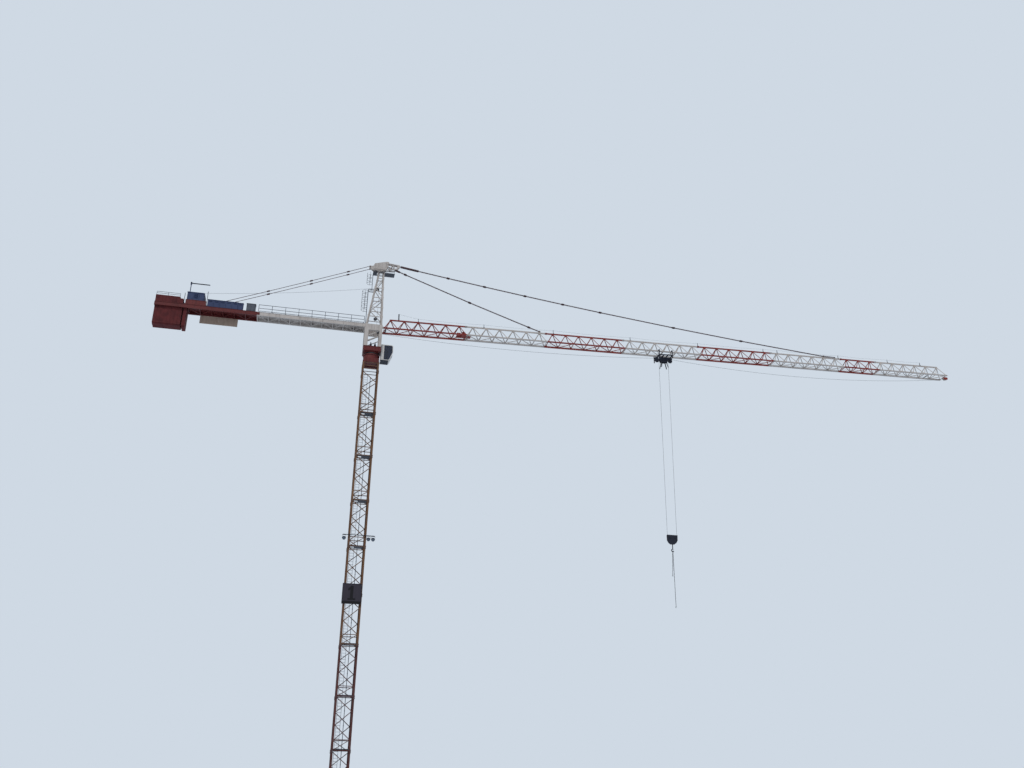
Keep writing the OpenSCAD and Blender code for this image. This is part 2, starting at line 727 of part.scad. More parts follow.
module counter_jib_rear() color(red) {
  side_beams(cj_x1 - seat_gap, cj_x2);
  beam_floor(cj_x1 - seat_gap, cj_x2 + slab_bay, 120);
  translate([cj_x2, -cj_in - bite, cj_z]) cube([4, 2 * (cj_in + bite), cj_beam_h]);
  for (side = [-1, 1]) {
    for (y = [eye_t / 2 + seat_gap, -eye_t / 2 - seat_gap - 4])
      translate([rear_anchor.x - 12, side * rear_pair / 2 + y, cj_top_z - 9]) cube([24, 4, 42]);
    translate([rear_anchor.x, side * rear_pair / 2, rear_anchor.z]) rotate([90, 0, 0])
      cylinder(r = pin_r, h = eye_t + 2 * seat_gap + 6, center = true, $fn = 32);
  }
}

// One run of handrail along X, standing on the side beam
module handrail(x_from, x_to, side) {
  n = round((x_from - x_to) / cj_post_pitch);
  y = side * (cj_in + cj_beam_w / 2) - 2.5;
  for (i = [0 : n])
    translate([x_to + i * (x_from - x_to - 5) / n, y, cj_top_z]) cube([5, 5, cj_rail_h]);
  for (z = [cj_rail_h / 2, cj_rail_h - 4])
    translate([x_to, y + 0.5, cj_top_z + z]) cube([x_from - x_to, 4, 4]);
}
module handrails() color(dark)
  for (side = [-1, 1]) handrail(cj_x0 - 10, cj_x1 + 10, side);

// A counterweight slab: its head rests on the beams and its body hangs between them
module slab(drop, head_h) {
  body = cj_in - 3;
  head_w = cj_w / 2 + 2;
  rotate([90, 0, 90]) linear_extrude(slab_t)
    polygon([[-body, -drop + 14], [-body + 14, -drop], [body - 14, -drop], [body, -drop + 14],
             [body, 0], [head_w, 0], [head_w, head_h], [-head_w, head_h], [-head_w, 0], [-body, 0]]);
}
// Eight full slabs and, in front of them, one with a low head under the winch house
module counterweights() color(red) {
  for (i = [0 : slab_n - 1])
    translate([cj_x2 + 5 + i * (slab_t + slab_gap), 0, cj_top_z]) slab(slab_drop, slab_head);
  translate([cj_x2 + 5 + slab_n * (slab_t + slab_gap) + low_slab_gap, 0, cj_top_z])
    slab(slab_drop + 10, skid_h - 2);
}

house_h = 160;
skid_h = 12;
davit_r = 4.5;
davit_x = house_x + 12;
davit_h = 326;
davit_top = cj_top_z + davit_h;
davit_collar_z = davit_top - 26;
module winch_house() color(slate) {
  translate([house_x, -cj_w / 2 + 6, cj_top_z + skid_h]) cube([house_l, cj_w - 12, house_h - skid_h]);
  for (x = [house_x + 40, house_x + house_l - 30])
    translate([x, -cj_w / 2 + 6, cj_top_z]) cube([16, cj_w - 12, skid_h + bite]);
  translate([house_x + 85, -12, cj_top_z + house_h - bite]) {
    for (y = [0, 20]) translate([0, y, 0]) cube([12, 4, 30]);
    translate([6, 12, 24]) rotate([90, 0, 0]) cylinder(r = 7, h = 18, center = true, $fn = 32);
  }
  translate([davit_x, 0, cj_top_z + house_h - bite]) {
    cylinder(r = 10, h = 6, $fn = 32);
    cylinder(r = davit_r, h = davit_top - cj_top_z - house_h + bite, $fn = 32);
  }
  translate([davit_x, 0, davit_collar_z - 8]) cylinder(r = 9, h = 8, $fn = 32);
}

// Davit arm: a sleeve on the post, resting on its collar, and a level jib
module davit_arm() color(dark)
  translate([davit_x, 0, davit_collar_z + seat_gap]) difference() {
    union() {
      cylinder(r = 9, h = 20, $fn = 32);
      translate([4, -3, 4]) cube([200, 6, 10]);
    }
    translate([0, 0, -1]) cylinder(r = davit_r + seat_gap, h = 30, $fn = 32);
  }

// A junction box near the joint of the two frames, and a long cabinet between it and the winch house
junction_x = cj_x1 - 119.7;
cabinet_gap = 95;
cabinet_x = house_x + house_l + 43;
cabinet_l = junction_x - cabinet_gap - cabinet_x;
module electrical_cabinet() color(slate) {
  translate([cabinet_x, -cj_w / 2, cj_top_z]) cube([cabinet_l, 38, 88]);
  translate([junction_x, -cj_w / 2, cj_top_z]) cube([95, 60, 52]);
}

// Two blank boards under the far beam, side by side
hung_x = house_x + 150;
module hung_board() color("tan")
  for (i = [0, 1])
    translate([hung_x + i * 206, cj_w / 2 - 9, cj_z - 95]) cube([205, 4, 95 - seat_gap]);

// A rope along a list of points
module rope(pts) {
  for (i = [0 : len(pts) - 2]) rod(pts[i], pts[i + 1], rope_r);
}
function arc(c, r, a0, a1, n) =
  [for (i = [0 : n]) let (a = a0 + (a1 - a0) * i / n) c + [r * cos(a), 0, r * sin(a)]];

rope_lap = rope_r + seat_gap;
house_roller = [house_x + 91, 0, cj_top_z + house_h - bite + 24];
rear_rope_sag = 28;
module hoist_rope_rear() color(dark) {
  a = house_roller + [0, 0, 7 + rope_lap];
  b = top_sheave + [0, 0, head_sheave_r - 3 + rope_lap];
  rope(concat([for (i = [0 : 8]) on_tie(a, b, rear_rope_sag, i / 8)],
              arc(top_sheave, head_sheave_r - 3 + rope_lap, 75, 0, 5),
              arc(foot_sheave, head_sheave_r - 3 + rope_lap, 180, 270, 5)));
}

trolley_sheave = [85, 0, -90];
tip_sheave = [jib_end + 26, 0, -10];
tip_sheave_r = 14;
rope_sag_in = 62;
rope_sag_out = 112;
function trolley_point(x, z) = jib_point(trolley_x + x, z);
module jib_hoist_rope() color(dark) {
  lap = sheave_r + rope_lap;
  a = foot_sheave + [1, 0, -head_sheave_r + 3 - rope_lap];
  b = trolley_point(-trolley_sheave.x - 6, trolley_sheave.z + lap);
  c = trolley_point(trolley_sheave.x + 6, trolley_sheave.z + lap);
  d = jib_point(jib_end + tip_pin.x - 2.5 - seat_gap, tip_pin.y);
  rope([for (i = [0 : 8]) on_tie(a, b, rope_sag_in, i / 8)]);
  rope([for (i = [0 : 8]) on_tie(c, d, rope_sag_out, i / 8)]);
}

// Trolley in the jib's frame, wheels on the rails of the bottom chords
wheel_w = 5;
wheel_y = jib_w / 2 + chord / 2 + rail_w - bite - 4;
wheel_z = -chord / 2 + rail_t + wheel_r + seat_gap;
leg_y = jib_w / 2 + chord / 2 + rail_w + 8.5;
frame_z = -58;
module on_trolley() {
  on_jib() translate([trolley_x, 0, 0]) children();
}
module trolley_frame() color(dark) on_trolley() {
  for (sx = [-1, 1], sy = [-1, 1]) {
    translate([sx * wheelbase / 2 - 5, sy * leg_y - 3, frame_z - 30]) cube([10, 6, wheel_z + 8 - frame_z + 30]);
    translate([sx * wheelbase / 2, sy * (leg_y + wheel_y - wheel_w / 2) / 2, wheel_z]) rotate([90, 0, 0])
      cylinder(r = 3, h = leg_y - wheel_y + wheel_w / 2, center = true, $fn = 32);
    bar([sx * 24, sy * 20, frame_z - 52], [sx * 44, sy * 30, frame_z - 130], 8);
  }
  for (sy = [-1, 1]) {
    translate([-wheelbase / 2 - 5, sy * leg_y - 4, frame_z]) cube([wheelbase + 10, 8, 10]);
    translate([0, sy * 20, 0]) rotate([90, 0, 0]) linear_extrude(6, center = true)
      polygon([[-70, frame_z + 5], [70, frame_z + 5], [34, frame_z - 60], [-34, frame_z - 60]]);
    for (sx = [-1, 1]) translate([0, sy * 9, 0]) rotate([90, 0, 0]) linear_extrude(4, center = true)
      polygon([[sx * 66, frame_z + 5], [sx * 112, frame_z + 5], [sx * 100, frame_z - 50], [sx * 74, frame_z - 50]]);
  }
  for (x = [-82, -25, 25, 82])
    translate([x - 6, -leg_y, frame_z]) cube([12, 2 * leg_y, 10]);
  for (sx = [-1, 1]) translate([sx * trolley_sheave.x, 0, trolley_sheave.z]) rotate([90, 0, 0])
    cylinder(r = axle_r, h = 22, center = true, $fn = 32);
}
module trolley_wheels() color(dark) on_trolley() {
  for (sx = [-1, 1], sy = [-1, 1])
    translate([sx * wheelbase / 2, sy * wheel_y, wheel_z]) rotate([90, 0, 0]) difference() {
      cylinder(r = wheel_r, h = wheel_w, center = true, $fn = 48);
      cylinder(r = 3 + seat_gap, h = wheel_w + 2, center = true, $fn = 32);
    }
  for (sx = [-1, 1]) translate([sx * trolley_sheave.x, 0, trolley_sheave.z]) sheave(sheave_r, axle_r + seat_gap);
}

hook_x = trolley_point(0, 0).x;
block_z = trolley_point(0, trolley_sheave.z).z - fall_h;
block_sheave_x = fall_gap / 2 - sheave_r - 6;
block_bottom = -74;
crosshead_h = 16;
shank_r = 5;
module hoist_falls() color(dark)
  for (sx = [-1, 1]) {
    top = trolley_point(sx * (trolley_sheave.x - sheave_r - rope_lap), trolley_sheave.z);
    rope([top, [hook_x + sx * (block_sheave_x + sheave_r + rope_lap), 0, block_z]]);
  }

// Hook block: two cheek plates, two sheaves on axles and the crosshead that carries the hook
module hook_block() color(dark) translate([hook_x, 0, block_z]) {
  difference() {
    union() {
      for (side = [-1, 1]) translate([0, side * 9, 0]) rotate([90, 0, 0]) linear_extrude(5, center = true)
        polygon([[-62, 32], [62, 32], [60, -30], [44, -58], [22, block_bottom], [-22, block_bottom],
                 [-44, -58], [-60, -30]]);
      translate([-24, -11, block_bottom]) cube([48, 22, crosshead_h]);
    }
    translate([0, 0, block_bottom - 1]) cylinder(r = shank_r + seat_gap, h = crosshead_h + 2, $fn = 32);
  }
  for (sx = [-1, 1]) translate([sx * block_sheave_x, 0, 0]) {
    rotate([90, 0, 0]) cylinder(r = axle_r, h = 20, center = true, $fn = 32);
    sheave(sheave_r, axle_r + seat_gap);
  }
}

// Hook: nut above the crosshead, shank and bowl
hook_drop = 69;
bowl_r = 14;
bowl_wire = 5;
module hook() color(dark) translate([hook_x, 0, block_z + block_bottom]) {
  translate([0, 0, crosshead_h + seat_gap]) cylinder(r = 7, h = 6, $fn = 6);
  translate([0, 0, -hook_drop + bowl_r]) cylinder(r = shank_r, h = hook_drop - bowl_r + crosshead_h + 1, $fn = 32);
  translate([0, 0, -hook_drop]) rotate([90, 0, 0]) {
    rotate([0, 0, 90]) rotate_extrude(angle = 235, $fn = 48) translate([bowl_r, 0]) circle(r = bowl_wire, $fn = 24);
    translate([0, bowl_r, 0]) sphere(r = bowl_wire + 0.5, $fn = 24);
  }
}

// Chain sling: a ring in the hook, a short and a long leg, a small hook on each leg
ring_wire = 2;
sling_ring_r = 12;
sling_ring_z = -hook_drop - bowl_r + bowl_wire + ring_wire + seat_gap - sling_ring_r;
module sling_leg(x, h) {
  rod([x / 4, 0, 0], [x, 0, -h], 1.6);
  translate([x, 0, -h - 6]) rotate([90, 0, 0])
    rotate([0, 0, 90]) rotate_extrude(angle = 250, $fn = 24) translate([6, 0]) circle(r = 1.8, $fn = 8);
}
module chain_sling() color(dark)
  translate([hook_x, 0, block_z + block_bottom + sling_ring_z]) {
    rotate([0, 90, 0]) rotate_extrude($fn = 48) translate([sling_ring_r, 0]) circle(r = ring_wire, $fn = 12);
    translate([0, 0, -sling_ring_r]) {
      sling_leg(-14, sling_short);
      sling_leg(6, sling_l);
    }
  }

module jib_section_1() color(red) jib_section(0);
module jib_section_2() color(cream) jib_section(1);
module jib_section_3() color(red) jib_section(2);
module jib_section_4() color(cream) jib_section(3);
module jib_section_5() color(red) jib_section(4);
module jib_section_6() color(cream) jib_section(5);
module jib_section_7() color(red) jib_section(6);
module jib_section_8() color(cream) jib_section(7);

base_frame();
mast_lower();
mast_middle();
mast_upper();
mast_landings();
mast_ladder();
floodlights();
number_board();
slewing_support();
slewing_ring();
turntable();
slewing_motors();
head_base();
tower_head();
head_crown();
rope_sheaves();
head_access();
cab();
cab_windows();
jib_section_1();
jib_section_2();
jib_section_3();
jib_section_4();
jib_section_5();
jib_section_6();
jib_section_7();
jib_section_8();
trolley_winch();
tie_bars();
counter_jib_front();
counter_jib_rear();
handrails();
counterweights();
winch_house();
electrical_cabinet();
hung_board();
hoist_rope_rear();
jib_hoist_rope();
davit_arm();
trolley_frame();
trolley_wheels();
hoist_falls();
hook_block();
hook();
chain_sling();
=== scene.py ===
# Looks of a saddle-jib tower crane, one tenth of the real size.
# Shapes are drawn in millimetres on the model and become metres in Shape.piece.
import json
import math
import bpy
from mathutils import Matrix, Vector


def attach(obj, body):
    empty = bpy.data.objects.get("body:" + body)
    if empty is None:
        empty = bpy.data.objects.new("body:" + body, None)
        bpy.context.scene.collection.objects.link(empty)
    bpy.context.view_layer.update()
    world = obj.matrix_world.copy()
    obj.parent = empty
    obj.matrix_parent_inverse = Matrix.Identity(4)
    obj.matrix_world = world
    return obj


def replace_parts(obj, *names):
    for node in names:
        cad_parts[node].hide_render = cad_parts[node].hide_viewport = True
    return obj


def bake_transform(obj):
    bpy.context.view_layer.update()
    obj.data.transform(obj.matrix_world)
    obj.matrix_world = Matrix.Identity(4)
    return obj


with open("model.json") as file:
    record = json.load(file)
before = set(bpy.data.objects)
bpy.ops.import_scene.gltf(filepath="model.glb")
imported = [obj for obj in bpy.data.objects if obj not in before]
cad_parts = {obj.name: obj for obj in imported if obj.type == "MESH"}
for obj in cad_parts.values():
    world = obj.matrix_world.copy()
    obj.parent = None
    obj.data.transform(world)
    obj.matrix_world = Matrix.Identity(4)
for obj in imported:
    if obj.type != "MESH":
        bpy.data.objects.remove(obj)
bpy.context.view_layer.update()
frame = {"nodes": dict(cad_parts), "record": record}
nodes = frame["nodes"]

MM = 0.001

# Driving sizes, the same as the construction's
BASE_TOP = 70
SECTION = 500
SECTIONS = 9
MAST_TOP = BASE_TOP + SECTIONS * SECTION
SLEEVE_FACE = 95
LANDING_RISE = 12.5
FLOOD_Z = 2690
RING_BOTTOM = 4790
HEAD_LEG_Z = 4884.3
HEAD_Z = 5160.3
HEAD_H = 735
CROWN_Z = HEAD_Z + HEAD_H
CAB_X = 104
CAB_Z = 4736.3
CAB_H = 192
PANEL = 162
JIB_PANELS = [6, 6, 6, 6, 6, 6, 3, 6]
JIB_LENGTH = sum(JIB_PANELS) * PANEL
JIB_TILT = math.radians(1.41)
JIB_DEPTH = 138
CHORD_Y = 71
JIB_ROOT = (113, 5135.98)
TROLLEY_X = 3420
FALL = 2206
CJ_Z = 5118.3
CJ_TOP = 5160.3
CJ_X0, CJ_X1, CJ_X2 = -100.3, -1305.3, -2405.3
HOUSE_X, HOUSE_L, HOUSE_TOP = -2075, 182, 5320.3
OUTER_PIN = Vector((116, 0, CROWN_Z + 120))
INNER_PIN = Vector((104, 0, CROWN_Z + 84))
REAR_PIN = Vector((-92, 0, CROWN_Z + 44))
REAR_ANCHOR = Vector((-1875, 0, 5184.3))
OUTER_LUG = 34.5 * PANEL
INNER_LUG = 11.5 * PANEL
LUG_Z = JIB_DEPTH + 20
OUTER_SAG, INNER_SAG = 50, 12
# The trolley's rope sheaves, from its middle on the bottom chords
SHEAVE_X, SHEAVE_Z = 85, -90
# Rear end of the walkway, where the winch house's guard board begins, and the board's other end
DECK_END = -1862
GUARD_END = -2084
# From a sheave's axle to the middle of the rope in its groove
SHEAVE_TO_ROPE = 25.3
# Drawn a little stouter than the construction's, so that it shows
ROPE_R = 1.3
# Side view of the glazed part of the cab, from its rear corner
GLAZING = ((36, 9), (88.3, 9), (96.3, 17), (129, 106.5), (126.1, 174.8), (118, 183), (36, 183))


def jib(x, y, z):
    """A point in the jib's own frame: x along the jib, z off the middle of its bottom chords."""
    c, s = math.cos(JIB_TILT), math.sin(JIB_TILT)
    return Vector((JIB_ROOT[0] + x * c - z * s, y, JIB_ROOT[1] + x * s + z * c))


def cab(x, y, z):
    """A point on the cab, from the lower rear edge of its middle plane."""
    return (CAB_X + x, y, CAB_Z + z)


def head_leg(foot_x, top_x, f, side):
    """A point on a leg of the tower head, f from 0 at its foot to 1 at the crown."""
    return Vector((foot_x + (top_x - foot_x) * f, side * (76 - 52 * f), HEAD_Z + f * HEAD_H))


# Materials

def paint(hexcode):
    """An sRGB hex colour as linear RGBA."""
    def linear(v):
        return v / 12.92 if v <= 0.04045 else ((v + 0.055) / 1.055) ** 2.4
    return tuple(linear(int(hexcode[i:i + 2], 16) / 255) for i in (1, 3, 5)) + (1.0,)


RUST = "#5b3424"
# Chalked paint mirrors little of the pale sky
CHALKED = 0.22
# The Mix node's two colour inputs and its colour output, by number because their names are shared
COLOUR_A, COLOUR_B, MIXED = 6, 7, 2


def add(tree, kind, links=(), stops=(), **settings):
    """Adds a shader node with its settings, a ramp's (place, hex colour) stops, and its inputs' values or
    sockets."""
    node = tree.nodes.new("ShaderNode" + kind)
    for name, value in settings.items():
        setattr(node, name, value)
    for i, (place, colour) in enumerate(stops):
        node.color_ramp.elements[i].position = place
        node.color_ramp.elements[i].color = paint(colour)
    for name, value in dict(links).items():
        if isinstance(value, bpy.types.NodeSocket):
            tree.links.new(value, node.inputs[name])
        else:
            node.inputs[name].default_value = value
    return node


def new_finish(name):
    """An empty material, its node tree and the object's own coordinates for its patterns."""
    material = bpy.data.materials.new(name)
    material.use_nodes = True
    tree = material.node_tree
    tree.nodes.clear()
    return material, tree, add(tree, "TexCoord").outputs["Object"]


def per_metre(size_mm):
    """Pattern scale whose features are about this many millimetres on the model."""
    return 1.0 / (size_mm * MM)


def enamel(name, coat, faded, grime, chip=RUST, chips=0.64, roughness=0.5):
    """Site-worn enamel sprayed on steel: it fades in broad patches, runs dirty downwards and chips to rust.
    Fade patches are 2 m on the crane, runs 0.2 m and chips 60 mm wide."""
    material, tree, place = new_finish(name)
    patches = add(tree, "TexNoise", {"Vector": place, "Scale": per_metre(200), "Detail": 5.0})
    fade = add(tree, "ValToRGB", {"Fac": patches.outputs["Fac"]}, stops=((0.35, coat), (0.72, faded)))
    stretch = add(tree, "Mapping", {"Vector": place, "Scale": (1.0, 1.0, 0.18)})
    runs = add(tree, "TexNoise", {"Vector": stretch.outputs["Vector"], "Scale": per_metre(20), "Detail": 6.0})
    dirt = add(tree, "MapRange", {"Value": runs.outputs["Fac"], "From Min": 0.5, "From Max": 0.75,
                                  "To Max": 0.5})
    dirty = add(tree, "Mix", {"Factor": dirt.outputs["Result"], COLOUR_A: fade.outputs["Color"],
                              COLOUR_B: paint(grime)}, data_type="RGBA")
    spots = add(tree, "TexNoise", {"Vector": place, "Scale": per_metre(6), "Detail": 8.0, "Roughness": 0.6})
    bare = add(tree, "MapRange", {"Value": spots.outputs["Fac"], "From Min": chips, "From Max": chips + 0.04})
    whole = add(tree, "Mix", {"Factor": bare.outputs["Result"], COLOUR_A: dirty.outputs[MIXED],
                              COLOUR_B: paint(chip)}, data_type="RGBA")
    gloss = add(tree, "MapRange", {"Value": bare.outputs["Result"], "To Min": roughness, "To Max": 0.85})
    relief = add(tree, "Bump", {"Height": spots.outputs["Fac"], "Strength": 0.2, "Distance": 0.5 * MM})
    shader = add(tree, "BsdfPrincipled", {
        "Base Color": whole.outputs[MIXED], "Roughness": gloss.outputs["Result"],
        "Specular IOR Level": CHALKED, "Normal": relief.outputs["Normal"]})
    add(tree, "OutputMaterial", {"Surface": shader.outputs["BSDF"]})
    return material


def bare_steel(name, light, dark, metallic, roughness, grain_mm):
    """Galvanised, cast or forged steel: cloudy crystal patches change its brightness and sheen."""
    material, tree, place = new_finish(name)
    flakes = add(tree, "TexVoronoi", {"Vector": place, "Scale": per_metre(grain_mm)})
    cloud = add(tree, "TexNoise", {"Vector": place, "Scale": per_metre(grain_mm * 9), "Detail": 5.0})
    blend = add(tree, "Math", {0: flakes.outputs["Distance"], 1: 0.35, 2: cloud.outputs["Fac"]},
                operation="MULTIPLY_ADD")
    tone = add(tree, "ValToRGB", {"Fac": blend.outputs["Value"]}, stops=((0.45, dark), (0.8, light)))
    gloss = add(tree, "MapRange", {"Value": blend.outputs["Value"], "From Min": 0.4, "From Max": 0.9,
                                   "To Min": roughness - 0.08, "To Max": roughness + 0.15})
    relief = add(tree, "Bump", {"Height": blend.outputs["Value"], "Strength": 0.2, "Distance": 0.4 * MM})
    shader = add(tree, "BsdfPrincipled", {
        "Base Color": tone.outputs["Color"], "Metallic": metallic, "Roughness": gloss.outputs["Result"],
        "Normal": relief.outputs["Normal"]})
    add(tree, "OutputMaterial", {"Surface": shader.outputs["BSDF"]})
    return material


def ribbed(name, dark, light, pitch_mm, depth_mm, roughness, metallic=0.0, turn=(0.0, 0.0, 0.0)):
    """A surface of fine parallel ribs, darker between them, pitch_mm apart."""
    material, tree, place = new_finish(name)
    turned = add(tree, "Mapping", {"Vector": place, "Rotation": turn})
    ribs = add(tree, "TexWave", {"Vector": turned.outputs["Vector"], "Scale": per_metre(pitch_mm) / math.tau,
                                 "Distortion": 0.5})
    tone = add(tree, "ValToRGB", {"Fac": ribs.outputs["Fac"]}, stops=((0.15, dark), (0.9, light)))
    relief = add(tree, "Bump", {"Height": ribs.outputs["Fac"], "Strength": 0.5, "Distance": depth_mm * MM})
    shader = add(tree, "BsdfPrincipled", {
        "Base Color": tone.outputs["Color"], "Metallic": metallic, "Roughness": roughness,
        "Normal": relief.outputs["Normal"]})
    add(tree, "OutputMaterial", {"Surface": shader.outputs["BSDF"]})
    return material


def painted_concrete():
    """Ballast cast in forms and painted red, the red darkened with painted shade: chalky worn patches, and
    pores drawn 9 mm wide to show, their pits in painted shade.
    """
    material, tree, place = new_finish("painted_cast_concrete")
    # Both tones of the red coat are darkened with painted shade; the patches between them are worn paint
    patches = add(tree, "TexNoise", {"Vector": place, "Scale": per_metre(60), "Detail": 7.0})
    coat = add(tree, "ValToRGB", {"Fac": patches.outputs["Fac"]}, stops=((0.32, "#451a1c"), (0.7, "#5e2626")))
    pores = add(tree, "TexVoronoi", {"Vector": place, "Scale": per_metre(9)})
    holes = add(tree, "MapRange", {"Value": pores.outputs["Distance"], "From Min": 0.06, "From Max": 0.2,
                                   "To Min": 0.6, "To Max": 0.0})
    # The pores are darkened with painted shade in their pits
    pitted = add(tree, "Mix", {"Factor": holes.outputs["Result"], COLOUR_A: coat.outputs["Color"],
                               COLOUR_B: paint("#2c1416")}, data_type="RGBA")
    relief = add(tree, "Bump", {"Height": holes.outputs["Result"], "Strength": 0.4, "Distance": 0.8 * MM},
                 invert=True)
    shader = add(tree, "BsdfPrincipled", {
        "Base Color": pitted.outputs[MIXED], "Roughness": 0.82, "Specular IOR Level": CHALKED,
        "Normal": relief.outputs["Normal"]})
    add(tree, "OutputMaterial", {"Surface": shader.outputs["BSDF"]})
    return material


def tinted_glass():
    """Tinted safety glass of the cab: blue, and darkened with painted shade of the cab's inside. A faint dust
    film roughens it in patches.
    """
    material, tree, place = new_finish("tinted_cab_glass_in_painted_shade")
    dust = add(tree, "TexNoise", {"Vector": place, "Scale": per_metre(30), "Detail": 6.0})
    # The dark blue is partly the glass's tint and partly painted shade of the cab's inside
    tint = add(tree, "ValToRGB", {"Fac": dust.outputs["Fac"]}, stops=((0.3, "#16233f"), (0.8, "#22325a")))
    haze = add(tree, "MapRange", {"Value": dust.outputs["Fac"], "To Min": 0.02, "To Max": 0.2})
    shader = add(tree, "BsdfPrincipled", {
        "Base Color": tint.outputs["Color"], "Roughness": haze.outputs["Result"], "IOR": 1.52,
        "Transmission Weight": 0.7})
    add(tree, "OutputMaterial", {"Surface": shader.outputs["BSDF"]})
    return material


# The finish of each material slot of the construction
FINISH = {
    "red_paint": enamel("oxide_red_enamel", "#7c2822", "#8a372d", "#421e1d"),
    "cream_paint": enamel("cream_enamel", "#b9b1aa", "#a69e97", "#746c66", "#7a5038", chips=0.68),
    "mast_ochre_paint": enamel("ochre_enamel", "#5f422f", "#715238", "#34271f", chips=0.62),
    "mast_maroon_paint": enamel("maroon_enamel", "#4a2a28", "#5c3733", "#2c1c1b", chips=0.62),
    "slate_paint": enamel("slate_blue_sheet_enamel", "#2c3654", "#37425f", "#1f263a", "#4a3a36", chips=0.7),
    "dark_paint": enamel("dark_grey_enamel", "#1b1d28", "#282b36", "#141419", chips=0.68),
    "board_paint": enamel("board_grey_enamel", "#2f2b33", "#3a353d", "#201e25", chips=0.7),
    "beige_board": enamel("beige_sheet_enamel", "#a18c7c", "#b09b8a", "#766659", "#7a5542", chips=0.72),
    "cab_paint": enamel("cab_white_enamel", "#c9c6c1", "#b9b5af", "#8d8881", "#8a6a52", chips=0.73,
                        roughness=0.35),
    "tie_steel": enamel("tie_bar_red_enamel", "#3c2629", "#4a3235", "#2a1c1e", chips=0.62),
    # Galvanised steel drawn darker than bare zinc: painted shade, for its undersides seen from below
    "galvanised_steel": bare_steel("galvanised_steel", "#52565e", "#2f3239", 0.6, 0.55, 5),
    "forged_steel": bare_steel("forged_black_steel", "#2b2c32", "#15161a", 0.5, 0.55, 4),
    "cast_sheave": bare_steel("cast_iron_sheave", "#55575d", "#2d2e33", 0.6, 0.48, 3),
    "ring_steel": bare_steel("greased_ring_steel", "#454343", "#222124", 0.6, 0.35, 6),
    # Bright crowns of the rope's strands in dark grease, drawn 3 mm apart so that they show
    "wire_rope": ribbed("greased_wire_rope", "#101116", "#36383f", 3, 0.3, 0.6, metallic=0.3,
                        turn=(0.0, 0.7, 0.7)),
    "painted_concrete": painted_concrete(),
    "cab_glass": tinted_glass(),
}
FINISH["block_paint"] = FINISH["dark_paint"]
# The red enamel again, darkened with painted shade for the red parts that hang in shade
shaded_red = enamel("shaded_red_beam_enamel", "#56201f", "#652a28", "#331819")
numeral_black = enamel("numeral_black_enamel", "#0b0a0c", "#151316", "#19171a", "#3a2e2a", chips=0.75)
rubber = enamel("black_window_rubber", "#141416", "#1f1f22", "#2a2826", "#2a2826", chips=0.8, roughness=0.75)
# Floodlight lens: moulded glass with flutes 4 mm apart over a reflector that hangs in shade
lens_glass = ribbed("fluted_lamp_lens", "#2c333f", "#76828f", 4, 0.5, 0.25)
# Seat cover: woven black fabric, its threads drawn as 2 mm ribs so that they show
fabric = ribbed("woven_seat_cover", "#17181b", "#3a3c42", 2, 0.4, 0.9)

for part in frame["record"]["subparts"]:
    mesh = nodes[part["node"]].data
    mesh.materials.clear()
    mesh.materials.append(FINISH[part["material_slot"]])
# The trolley winch is painted like the jib section that carries it. The rear frame and the turntable
# take the red enamel darkened with painted shade.
nodes["trolley_winch"].data.materials[0] = FINISH["red_paint"]
for darker in ("counter_jib_rear", "turntable"):
    nodes[darker].data.materials[0] = shaded_red


# Mesh making

